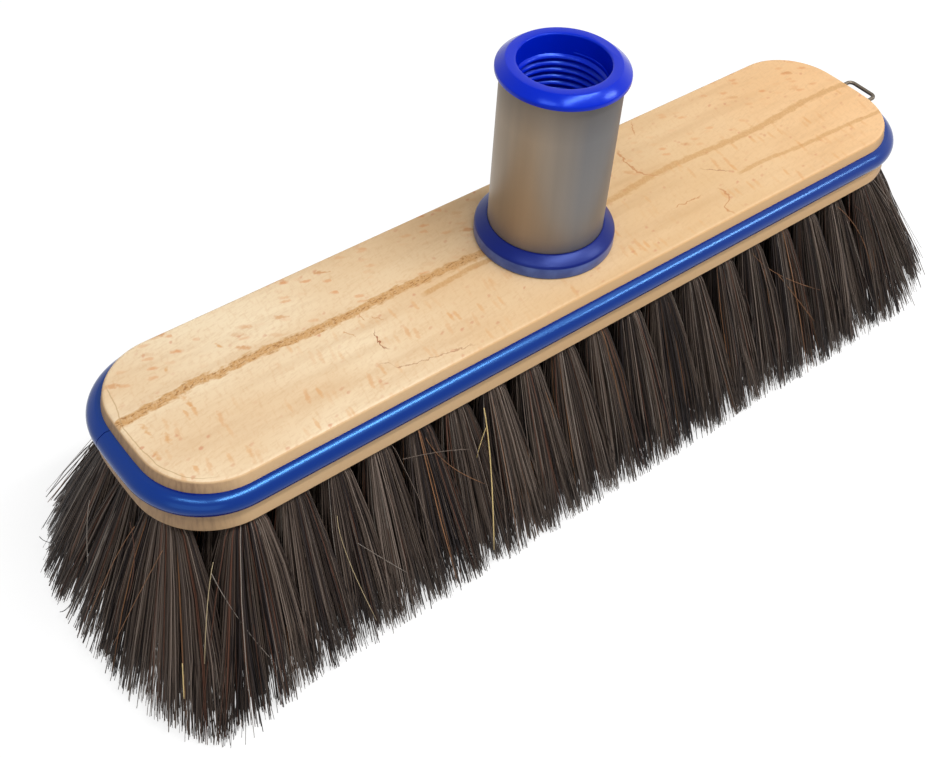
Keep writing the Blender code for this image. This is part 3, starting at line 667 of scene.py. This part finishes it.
def turn_piece(name, profile):
    """Piece turned about Z from a line of (radius, height) points."""
    piece = start_line(name, (profile[0][0], 0, profile[0][1]))
    for (radius, height), (next_radius, next_height) in zip(profile, profile[1:]):
        bpy.ops.mesh.extrude_region_move(
            TRANSFORM_OT_translate={"value": (next_radius - radius, 0, next_height - height)})
    bpy.ops.mesh.select_all(action="SELECT")
    bpy.ops.mesh.spin(steps=TURN_STEPS, angle=math.tau, center=(0, 0, 0), axis=(0, 0, 1))
    bpy.ops.mesh.select_all(action="SELECT")
    bpy.ops.mesh.remove_doubles(threshold=WELD)
    bpy.ops.mesh.normals_make_consistent(inside=False)
    return piece


def round_rings(offset, segments, *rings):
    """Round off the edge rings at some (radius, height) places."""
    def on_ring(middle):
        reach = math.hypot(middle.x, middle.y) / math.cos(math.pi / TURN_STEPS)
        return any(math.hypot(reach - radius, middle.z - height) < 10 * WELD for radius, height in rings)
    pick("EDGE", on_ring)
    bpy.ops.mesh.bevel(offset=offset, segments=segments, affect="EDGES")


socket_top, insert_foot = insert_high.z, insert_low.z
flange_z = socket_top - FLANGE_CONE - FLANGE_LIP
bore_floor = socket_top - BORE_DEPTH
insert = turn_piece("blue_threaded_core", [
    (0, insert_foot), (CORE_RADIUS - SPIGOT_CHAMFER, insert_foot),
    (CORE_RADIUS, insert_foot + SPIGOT_CHAMFER), (CORE_RADIUS, flange_z),
    (FLANGE_RADIUS, flange_z), (FLANGE_RADIUS, flange_z + FLANGE_LIP), (CORE_RADIUS, socket_top),
    (BORE_RADIUS, socket_top), (BORE_RADIUS, bore_floor), (0, bore_floor)])
round_rings(EDGE_ROUNDING, EDGE_STEPS, (FLANGE_RADIUS, flange_z), (CORE_RADIUS, socket_top))
round_rings(RIM_ROUNDING, EDGE_STEPS, (FLANGE_RADIUS, flange_z + FLANGE_LIP))
round_rings(MOUTH_ROUNDING, MOUTH_STEPS, (BORE_RADIUS, socket_top))
edit()
# The screw holes are turned by half a side, so that no corner of theirs meets one of the core's.
screw_boxes = [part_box(f"socket_screw_{number}") for number in (1, 2, 3)]
cut(insert, [
    drill(SCREW_HOLE_RADIUS, bore_floor - insert_foot + CUT_OVERRUN,
          ((low.x + high.x) / 2, (low.y + high.y) / 2, (bore_floor + insert_foot) / 2), SCREW_HOLE_SIDES,
          (0, 0, math.pi / SCREW_HOLE_SIDES))
    for low, high in screw_boxes])

thread_low = socket_top - THREAD_END_DEPTH - THREAD_PITCH * THREAD_TURNS
ridge_foot = BORE_RADIUS + RIDGE_SEAT
ridge = start_line("thread_ridge", (ridge_foot, 0, thread_low - THREAD_PITCH * RIDGE_HALF_SHARE))
for back, rise in RIDGE_OUTLINE:
    bpy.ops.mesh.extrude_region_move(TRANSFORM_OT_translate={"value": (-back, 0, THREAD_PITCH * rise)})
bpy.ops.mesh.select_all(action="SELECT")
bpy.ops.mesh.edge_face_add()
edit()
finish_with(
    ridge, "SCREW", axis="Z", steps=TURN_STEPS, render_steps=TURN_STEPS, screw_offset=THREAD_PITCH,
    iterations=THREAD_TURNS, use_merge_vertices=False, use_smooth_shade=True)
# The ridge runs out at both ends of the thread, where it sinks into the wall of the bore.
for corner in ridge.data.vertices:
    reach = math.hypot(corner.co.x, corner.co.y)
    turns = (corner.co.z - thread_low) / THREAD_PITCH
    fade = max(0, min(1, turns / THREAD_FADE_TURNS, (THREAD_TURNS - turns) / THREAD_FADE_TURNS))
    sunk = (ridge_foot - (ridge_foot - reach) * fade) / reach
    corner.co.x, corner.co.y = corner.co.x * sunk, corner.co.y * sunk
edit(ridge)
bpy.ops.mesh.select_all(action="SELECT")
bpy.ops.mesh.fill_holes(sides=0)
bpy.ops.transform.rotate(
    value=-math.radians(THREAD_END_DEGREES), orient_axis="Z", center_override=(0, 0, 0))
close_up()
bpy.ops.object.select_all(action="DESELECT")
insert.select_set(True)
ridge.select_set(True)
bpy.context.view_layer.objects.active = insert
bpy.ops.object.join()

# Moulded plastic: a brighter blue than the strip's, and a weaker shine with some blue in it.
moulded_blue, tree, shader = new_material(
    "moulded blue plastic", Base_Color=linear("#0020be"), Roughness=0.19, Specular_IOR_Level=0.55,
    Specular_Tint=linear("#6c98ff"))
hand_over(insert, moulded_blue, "insert_plastic", "threaded_insert")


# Socket sleeve
# Thin grey metal tube with a satin coat, cut to length and pushed over the core. It stands in the collar
# and ends under the flange.
sleeve_low, sleeve_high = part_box("socket_sleeve")
SLEEVE_RADIUS = 0.01685
SLEEVE_WALL = 0.0009
CUT_EDGE_STEPS = 2
# Painted reflection bands to the metre, round the tube and up it, and where the painted shade, the painted
# reflection and the painted shadow start and end.
REFLECTION_BANDS = (150, 150, 9)
FLANGE_SHADE_Z = 0.116
WARM_REFLECTION_X = (-0.004, -0.015)
FLANGE_SHADOW_Z = (0.1085, 0.1190)
sleeve_bore = SLEEVE_RADIUS - SLEEVE_WALL
sleeve = turn_piece("grey_metal_sleeve", [
    (sleeve_bore, sleeve_low.z), (SLEEVE_RADIUS, sleeve_low.z), (SLEEVE_RADIUS, sleeve_high.z),
    (sleeve_bore, sleeve_high.z), (sleeve_bore, sleeve_low.z)])
round_rings(EDGE_ROUNDING, CUT_EDGE_STEPS, (SLEEVE_RADIUS, sleeve_low.z), (SLEEVE_RADIUS, sleeve_high.z))
edit()
# The satin coat has painted shade that darkens it up towards the flange, a warm painted reflection on
# its left side, faint upright bands of painted reflection and a painted shadow under the flange.
satin_metal, tree, shader = new_material("satin grey metal", Roughness=0.45, Metallic=0.6)
surface = add_node(tree, "TexCoord")
axes = add_node(tree, "SeparateXYZ", {}, {0: surface.outputs["Object"]})
rise = ramp_to(axes.outputs["Z"], sleeve_low.z, FLANGE_SHADE_Z)
# Noise for the painted reflection bands, stretched up the tube.
drawn = add_node(tree, "VectorMath", {"operation": "MULTIPLY"}, {0: surface.outputs["Object"], 1: REFLECTION_BANDS})
bands = add_node(tree, "TexNoise", {}, {"Vector": drawn, "Scale": 1.0, "Detail": 3.0})
# Painted shade: the coat darkens up the tube towards the flange.
coat = blend(rise, "#85817d", "#6d6c6d")
for mask, paint in (
        # Painted reflection: a warm band on the left side.
        (ramp_to(axes.outputs["X"], *WARM_REFLECTION_X, end=0.6), "#aa9477"),
        # Painted reflection bands.
        (ramp_to(bands.outputs[0], 0.42, 0.70, end=0.25), "#6a645c"),
        # Painted shadow under the flange.
        (ramp_to(axes.outputs["Z"], *FLANGE_SHADOW_Z, end=0.5), "#544e4a")):
    coat = paint_over(coat, mask, paint)
tree.links.new(coat.outputs["Result"], shader.inputs["Base Color"])
hand_over(sleeve, satin_metal, "sleeve_metal", "socket_sleeve")


# Base collar
# Moulded ring of the same blue plastic round the foot of the sleeve, with a ledge inside that carries it.
collar_low, collar_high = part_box("base_collar")
COLLAR_RADIUS = 0.0206
COLLAR_RIM = 0.0041
COLLAR_LEDGE = 0.0026
COLLAR_LAND = 0.0004
COLLAR_PASSAGE = 0.01595
COLLAR_POCKET = 0.01695
COLLAR_ROUNDING = 0.0006
COLLAR_STEPS = 4
# Patches of dust to the metre.
DUST_PATCHES = 260.0
collar_land_radius = COLLAR_POCKET + COLLAR_LAND
collar = turn_piece("blue_base_ring", [
    (COLLAR_PASSAGE, collar_low.z), (COLLAR_RADIUS, collar_low.z), (COLLAR_RADIUS, top + COLLAR_RIM),
    (collar_land_radius, collar_high.z), (COLLAR_POCKET, collar_high.z),
    (COLLAR_POCKET, top + COLLAR_LEDGE), (COLLAR_PASSAGE, top + COLLAR_LEDGE),
    (COLLAR_PASSAGE, collar_low.z)])
round_rings(COLLAR_ROUNDING, COLLAR_STEPS, (COLLAR_RADIUS, top + COLLAR_RIM))
round_rings(
    EDGE_ROUNDING, CUT_EDGE_STEPS, (COLLAR_RADIUS, collar_low.z), (collar_land_radius, collar_high.z))
edit()
# The ring is of the core's plastic, painted darker blue as painted shade, with pale dust and rubbing on
# its upright rim.
shaded_dusty_blue, tree, shader = new_material(
    "shaded and dusty blue plastic", Roughness=0.32, Specular_IOR_Level=0.55, Specular_Tint=linear("#90a8ff"))
surface = add_node(tree, "TexCoord")
facing = add_node(tree, "SeparateXYZ", {}, {0: surface.outputs["Normal"]})
upright = ramp_to(facing.outputs["Z"], 0.35, 0.12)
dust = add_node(tree, "TexNoise", {}, {
    "Vector": surface.outputs["Object"], "Scale": DUST_PATCHES, "Detail": 3.0})
dust = both(ramp_to(dust.outputs[0], 0.3, 0.7, start=0.5), upright)
# Painted shade: the ring's dark blue, with pale dust over it on the rim.
blue = blend(dust, "#041262", "#5268aa")
tree.links.new(blue.outputs["Result"], shader.inputs["Base Color"])
hand_over(collar, shaded_dusty_blue, "insert_plastic", "base_collar")


# Socket screws and tuft anchors
# Three pan-head wood screws hold the core down on the block, and a plate of flattened wire is driven
# across each tuft in its hole. All are steel, zinc plated. The plates are out of sight and the screws'
# heads show only down the bore, so their solids stay as they are.
plated_steel, tree, shader = new_material(
    "zinc-plated steel", Base_Color=linear("#c4c4bf"), Roughness=0.35, Metallic=1.0)
steel_solids = [f"socket_screw_{number}" for number in (1, 2, 3)]
steel_solids += [f"tuft_anchors_{row + 1}" for row in range(ROWS)]
for name in steel_solids:
    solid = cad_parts[name]
    solid.data.materials.clear()
    solid.data.materials.append(plated_steel)


# Hanging staple
# Steel wire bent to a square loop, driven with both legs into the far end of the block to hang the broom
# by. It is swept along its wire, from one leg to the other.
STAPLE_BEND = 0.0018
WIRE_SIDES = 16
BEND_STEPS = 8
first_leg, last_leg = staple_legs
bend_x = staple_high.x - wire_radius - STAPLE_BEND
bpy.ops.object.select_all(action="DESELECT")
bpy.ops.mesh.primitive_circle_add(
    vertices=WIRE_SIDES, radius=wire_radius, fill_type="NGON", location=(0, 0, 0))
staple = bpy.context.object
staple.name = "wire_staple"
edit(staple)
bpy.ops.mesh.select_mode(type="FACE")
bpy.ops.mesh.select_all(action="SELECT")
bpy.ops.transform.rotate(value=math.pi / 2, orient_axis="Y", center_override=(0, 0, 0))
bpy.ops.transform.translate(value=(staple_low.x, first_leg, staple_z))
bpy.ops.mesh.extrude_region_move(TRANSFORM_OT_translate={"value": (bend_x - staple_low.x, 0, 0)})
for bend_y, straight in (
        (first_leg + STAPLE_BEND, (0, last_leg - first_leg - 2 * STAPLE_BEND, 0)),
        (last_leg - STAPLE_BEND, (staple_low.x - bend_x, 0, 0))):
    bpy.ops.mesh.spin(
        steps=BEND_STEPS, angle=math.pi / 2, center=(bend_x, bend_y, staple_z), axis=(0, 0, -1))
    bpy.ops.mesh.extrude_region_move(TRANSFORM_OT_translate={"value": straight})
close_up()
wire, tree, shader = new_material(
    "dull steel wire", Base_Color=linear("#6e655a"), Roughness=0.45, Metallic=0.9)
hand_over(staple, wire, "staple_steel", "hanging_staple")


# Horsehair
# Tufts of stiff horsehair, doubled over a wire anchor in their holes, combed out and sheared level. Dark
# brown and black hairs are mixed with a few red, ginger and grey ones, cling in thin bunches and cross at
# the tufts' edges. Real hairs are about half as thick, which is too fine to show.
HAIRS = 58000
BUNCHES_PER_TUFT = 20
HAIR_STATIONS = (0, 0.12, 0.36, 0.66, 1)
HAIR_SIDES = 3
HAIR_RADIUS = 0.00014
RADIUS_VARIATION = 0.25
RADIUS_LIMITS = (0.6, 1.6)
TIP_TAPER = 0.7
SIDEWAYS = (0.3, 0.2, 1.0)
ROOT_RADIUS = 0.0020
ROOT_DEPTH = 0.0020
EDGE_BAND = 0.0080
INNER_DENSITY = 0.60
TIP_REACH_SIDE = 0.0212
TIP_REACH_END = 0.0200
TIP_REACH_POWER = 3
TIP_END_BOW = 0.0090
OVERLAP = 0.22
BUNCH_PULL = 0.60
LEAN_POWER = 1.10
SPREAD_POWER = 0.66
HAIR_SCATTER = 0.0006
LOOSE_SHARE = 0.07
LOOSE_TIP = 0.0020
BUNCH_BEND = 0.0006
HAIR_BEND = 0.0005
# The lowest tips, how much higher a bunch ends, and how much higher a few single hairs do.
TIP_LOW = 0.0003
BUNCH_UNEVEN = 0.0026
HAIR_UNEVEN = 0.0040
# Where the tips were combed aside: (place under the block, push, reach of the push).
COMBED = (
    ((-0.133, -0.023), (-0.0040, -0.0100), 0.013),
    ((-0.133, 0.023), (-0.0034, -0.0040), 0.011),
    ((0.134, -0.020), (0.0060, 0.0000), 0.014))
draw = np.random.default_rng(41)
tufts = np.array([(x, row_side(row)) for row in range(ROWS) for x in row_tufts(row)])
tuft_rows = np.array([row for row in range(ROWS) for _ in row_tufts(row)])


def tips_under(points):
    """Where the hairs from points of the underside end on the floor, without bunching."""
    x, y = points[:, 0], points[:, 1] * (half_width + TIP_REACH_SIDE) / half_width
    bow = TIP_END_BOW * (y / (half_width + TIP_REACH_SIDE)) ** 2
    reach = (TIP_REACH_END - bow) * np.abs(x / half_length) ** TIP_REACH_POWER
    tips = np.column_stack([x + np.sign(x) * reach, y])
    for place, push, size in COMBED:
        near = np.exp(-((points - place) ** 2).sum(1) / size ** 2)
        tips += near[:, None] * push
    return tips


def spread_points(count):
    """Points under the block, set closer in a band along its edge, where they show."""
    tries = 4 * count
    points = (draw.random((tries, 2)) * 2 - 1) * (half_length, half_width)
    corner = np.maximum(np.abs(points) - (corner_centre_x, corner_centre_y), 0)
    margin = np.minimum.reduce([
        half_width - np.abs(points[:, 1]), CORNER_RADIUS - np.hypot(*corner.T),
        END_RADIUS - np.hypot(np.abs(points[:, 0]) - end_centre_x, points[:, 1])])
    chance = np.where(margin < EDGE_BAND, 1.0, INNER_DENSITY)
    return points[(margin > 0) & (draw.random(tries) < chance)][:count]


def nearest(points, centres):
    """Index of the centre nearest to each point."""
    return np.argmin(((points[:, None] - centres[None]) ** 2).sum(2), 1)


def make_hairs(name, path, radius, tone):
    """Piece of tapered three-sided hairs along their paths, each with its own radius and tone."""
    count, rings = path.shape[:2]
    along = path[:, -1] - path[:, 0]
    across = np.cross(along, SIDEWAYS)
    across /= np.linalg.norm(across, axis=1, keepdims=True)
    third = np.cross(along, across)
    third /= np.linalg.norm(third, axis=1, keepdims=True)
    angle = math.tau * np.arange(HAIR_SIDES) / HAIR_SIDES
    ring = across[:, None] * np.cos(angle)[None, :, None] + third[:, None] * np.sin(angle)[None, :, None]
    taper = np.ones(rings)
    taper[-1] = TIP_TAPER
    points = path[:, :, None] + ring[:, None] * (radius[:, None] * taper)[:, :, None, None]
    start = np.arange(count)[:, None, None] * rings * HAIR_SIDES
    low = start + np.arange(rings - 1)[None, :, None] * HAIR_SIDES
    side = np.arange(HAIR_SIDES)[None, None]
    beside = (side + 1) % HAIR_SIDES
    quads = np.stack([low + side, low + beside, low + HAIR_SIDES + beside, low + HAIR_SIDES + side], 3)
    root_cap = start[:, 0] + np.arange(HAIR_SIDES)[::-1]
    tip_cap = start[:, 0] + (rings - 1) * HAIR_SIDES + np.arange(HAIR_SIDES)
    caps = np.concatenate([root_cap, tip_cap])
    corners = np.concatenate([quads.reshape(-1), caps.reshape(-1)])
    sizes = np.concatenate([np.full(quads.size // 4, 4), np.full(len(caps), HAIR_SIDES)])
    mesh = bpy.data.meshes.new(name)
    mesh.vertices.add(points.size // 3)
    mesh.vertices.foreach_set("co", points.reshape(-1).astype(np.float32))
    mesh.loops.add(len(corners))
    mesh.loops.foreach_set("vertex_index", corners.astype(np.int32))
    mesh.polygons.add(len(sizes))
    mesh.polygons.foreach_set("loop_start", (np.cumsum(sizes) - sizes).astype(np.int32))
    mesh.polygons.foreach_set("use_smooth", np.ones(len(sizes), bool))
    mesh.update()
    layer = mesh.attributes.new("tone", "FLOAT", "POINT")
    layer.data.foreach_set("value", np.repeat(tone, rings * HAIR_SIDES).astype(np.float32))
    piece = bpy.data.objects.new(name, mesh)
    bpy.context.scene.collection.objects.link(piece)
    piece.data.materials.append(hair)
    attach(piece, "root")
    return piece


# Horsehair is smooth and dark, with a dull shine. Each hair has its own tone on a ramp: most are black to
# faded brown, and the ramp's last stretch holds the few that are red, ginger, grey or straw.
BLACK_HAIR, DARK_HAIR, MIDDLE_HAIR, FADED_HAIR = 0.10, 0.20, 0.48, 0.74
RED_HAIR, GINGER_HAIR, GREY_HAIR, PALE_HAIR, STRAW_HAIR = 0.80, 0.86, 0.92, 0.96, 1.0
BUNCH_TONE = 0.16
HAIR_TONE = 0.22
RARE_HAIRS = ((RED_HAIR, 0.05), (GINGER_HAIR, 0.013), (GREY_HAIR, 0.022))
hair, tree, shader = new_material("dark horsehair", Roughness=0.55, Specular_IOR_Level=0.3)
shades = add_node(tree, "ValToRGB", {}, {
    "Fac": add_node(tree, "Attribute", {"attribute_name": "tone"}).outputs["Fac"]})
ramp = shades.color_ramp.elements
ramp[0].position, ramp[0].color = 0.0, linear("#191214")
ramp[1].position, ramp[1].color = STRAW_HAIR, linear("#cdb47c")
for place, paint in (
        (0.35, "#352a24"), (0.58, "#54463c"), (FADED_HAIR, "#786a60"), (RED_HAIR, "#5a3a2c"),
        (GINGER_HAIR, "#8a6244"), (GREY_HAIR, "#8f867e")):
    ramp.new(place).color = linear(paint)
tree.links.new(shades.outputs["Color"], shader.inputs["Base Color"])

# Each hair grows from the hole nearest to its place under the block, and bunches pull their hairs
# together.
places = spread_points(HAIRS)
owner = nearest(places, tufts)
bunches = spread_points(BUNCHES_PER_TUFT * len(tufts))
bunch_owner = nearest(bunches, tufts)
bunch = np.zeros(HAIRS, int)
for tuft in range(len(tufts)):
    own, near = np.flatnonzero(owner == tuft), np.flatnonzero(bunch_owner == tuft)
    bunch[own] = near[nearest(places[own], bunches[near])]
pull = BUNCH_PULL * draw.random((HAIRS, 1)) ** 0.5
gathered = places * (1 - pull) + bunches[bunch] * pull
gathered += HAIR_SCATTER * draw.standard_normal((HAIRS, 2))
loose = draw.random(HAIRS) < LOOSE_SHARE
gathered[loose] += LOOSE_TIP * draw.standard_normal((loose.sum(), 2))
gathered = gathered.clip((-half_length, -half_width), (half_length, half_width))
aside = places - tufts[owner]
far = np.linalg.norm(aside, axis=1, keepdims=True)
roots = aside * ROOT_RADIUS / np.maximum(far, TUFT_PITCH / 2)
middles = tips_under(tufts)[owner]
spread = tips_under(gathered) - middles + OVERLAP * (gathered - tufts[owner])
tip_z = TIP_LOW + BUNCH_UNEVEN * draw.random(len(bunches))[bunch] + HAIR_UNEVEN * draw.random(HAIRS) ** 5
share = np.array(HAIR_STATIONS)[None, :, None]
bend = BUNCH_BEND * draw.standard_normal((len(bunches), 2))[bunch]
bend += HAIR_BEND * draw.standard_normal((HAIRS, 2))

# A path leans with its tuft, starts at its place in the hole, spreads from its neighbours and bends a
# little on its way down.
path = np.zeros((HAIRS, len(HAIR_STATIONS), 3))
path[:, :, :2] = tufts[owner][:, None] + (middles - tufts[owner])[:, None] * share ** LEAN_POWER
path[:, :, :2] += roots[:, None] * (1 - share) + spread[:, None] * share ** SPREAD_POWER
path[:, :, :2] += bend[:, None] * np.sin(math.pi * share)
path[:, :, 2] = underside + ROOT_DEPTH + (tip_z[:, None] - underside - ROOT_DEPTH) * share[:, :, 0]
radius = HAIR_RADIUS * (1 + RADIUS_VARIATION * draw.standard_normal(HAIRS)).clip(*RADIUS_LIMITS)
tone = BUNCH_TONE * draw.standard_normal(len(bunches))[bunch] + HAIR_TONE * draw.standard_normal(HAIRS)
tone = (MIDDLE_HAIR + tone).clip(0, FADED_HAIR)
for rare_tone, part in RARE_HAIRS:
    tone[draw.random(HAIRS) < part] = rare_tone

for row in range(ROWS):
    for end, half in (("left", places[:, 0] < 0), ("right", places[:, 0] >= 0)):
        own = (tuft_rows[owner] == row) & half
        hairs = make_hairs(f"horsehair_row_{row + 1}_{end}", path[own], radius[own], tone[own])
        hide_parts(f"tuft_row_{row + 1}")

# Single long hairs lie over the near side and the end without the staple, a little off the tufts. Each
# is (tone, radius, three places that it runs through), in mm. A place is along the side or across the
# end, then up, and the tufts' slope and the end's curve give the third coordinate.
STRAY_STATIONS = 12
STRAY_STANDOFF = 2.0
SIDE_SLOPE, SIDE_FOOT = 0.553, 53.0
END_SLOPE, END_FOOT, END_CURVE = 0.457, 161.5, 0.006
SIDE_STRAYS = (
    (STRAW_HAIR, 0.20, (-45.0, 44.5), (-48.0, 29.5), (-54.5, 8.0)),
    (STRAW_HAIR, 0.16, (-46.0, 39.5), (-49.0, 36.5), (-51.5, 33.5)),
    (GINGER_HAIR, 0.12, (-65.0, 45.0), (-60.5, 35.5), (-51.5, 26.0)),
    (FADED_HAIR, 0.10, (-73.5, 43.0), (-62.5, 40.0), (-53.0, 36.5)),
    (GINGER_HAIR, 0.12, (-24.5, 41.5), (-23.5, 36.5), (-23.5, 32.0)),
    (GINGER_HAIR, 0.10, (14.5, 20.5), (14.0, 15.5), (13.0, 10.0)),
    (PALE_HAIR, 0.12, (-96.5, 38.5), (-97.5, 27.5), (-95.5, 8.5)),
    (GREY_HAIR, 0.10, (-93.5, 29.5), (-88.5, 23.0), (-82.5, 15.5)),
    (GINGER_HAIR, 0.12, (64.0, 46.0), (73.0, 36.5), (90.5, 25.0)),
    (GINGER_HAIR, 0.12, (67.5, 40.0), (67.5, 34.5), (67.0, 29.5)),
    (GINGER_HAIR, 0.14, (73.0, 36.5), (78.5, 28.0), (85.5, 17.0)),
    (GINGER_HAIR, 0.14, (104.5, 46.0), (113.0, 34.5), (116.0, 21.5)),
    (RED_HAIR, 0.12, (112.5, 43.5), (117.0, 38.5), (119.0, 32.0)),
    (GREY_HAIR, 0.12, (-133.0, 41.5), (-130.0, 25.0), (-123.5, 6.5)),
    (STRAW_HAIR, 0.16, (-148.0, 25.5), (-149.5, 21.5), (-151.0, 17.5)),
    (PALE_HAIR, 0.14, (-131.5, 43.5), (-136.5, 35.5), (-143.0, 22.5)),
    (GREY_HAIR, 0.10, (-121.5, 29.5), (-122.0, 27.0), (-122.5, 25.0)))
END_STRAYS = (
    (DARK_HAIR, 0.12, (31.0, 5.0), (23.0, 11.0), (16.0, 18.5)),
    (BLACK_HAIR, 0.14, (23.5, 8.0), (19.0, 16.5), (16.5, 26.0)),
    (BLACK_HAIR, 0.14, (20.0, 5.0), (15.5, 12.0), (14.0, 18.0)),
    (BLACK_HAIR, 0.14, (6.0, 3.0), (2.5, 9.0), (1.0, 19.0)),
    (GINGER_HAIR, 0.10, (-11.0, 45.0), (-8.0, 31.0), (-6.0, 12.0)),
    (GINGER_HAIR, 0.10, (-21.5, 45.0), (-19.5, 31.0), (-17.0, 11.0)),
    (GREY_HAIR, 0.12, (8.5, 38.0), (6.5, 32.5), (1.0, 24.0)),
    (RED_HAIR, 0.12, (-9.0, 45.0), (-14.5, 37.0), (-16.5, 25.5)))
# Each path is the parabola through the three places.
paths = []
share = np.linspace(0, 1, STRAY_STATIONS)
for strays, slope, foot, curve in (
        (SIDE_STRAYS, SIDE_SLOPE, SIDE_FOOT, 0), (END_STRAYS, END_SLOPE, END_FOOT, END_CURVE)):
    for _, _, first, middle, last in strays:
        run, height = (
            (1 - share) * (1 - 2 * share) * a + 4 * share * (1 - share) * b + share * (2 * share - 1) * c
            for a, b, c in zip(first, middle, last))
        out = slope * height + curve * run ** 2 - foot - STRAY_STANDOFF
        columns = [run, out, height] if strays is SIDE_STRAYS else [out, run, height]
        paths.append(np.column_stack(columns) / 1000)
all_strays = SIDE_STRAYS + END_STRAYS
tones = np.array([stray[0] for stray in all_strays])
radii = np.array([stray[1] for stray in all_strays]) / 1000
make_hairs("stray_horsehairs", np.array(paths), radii, tones)
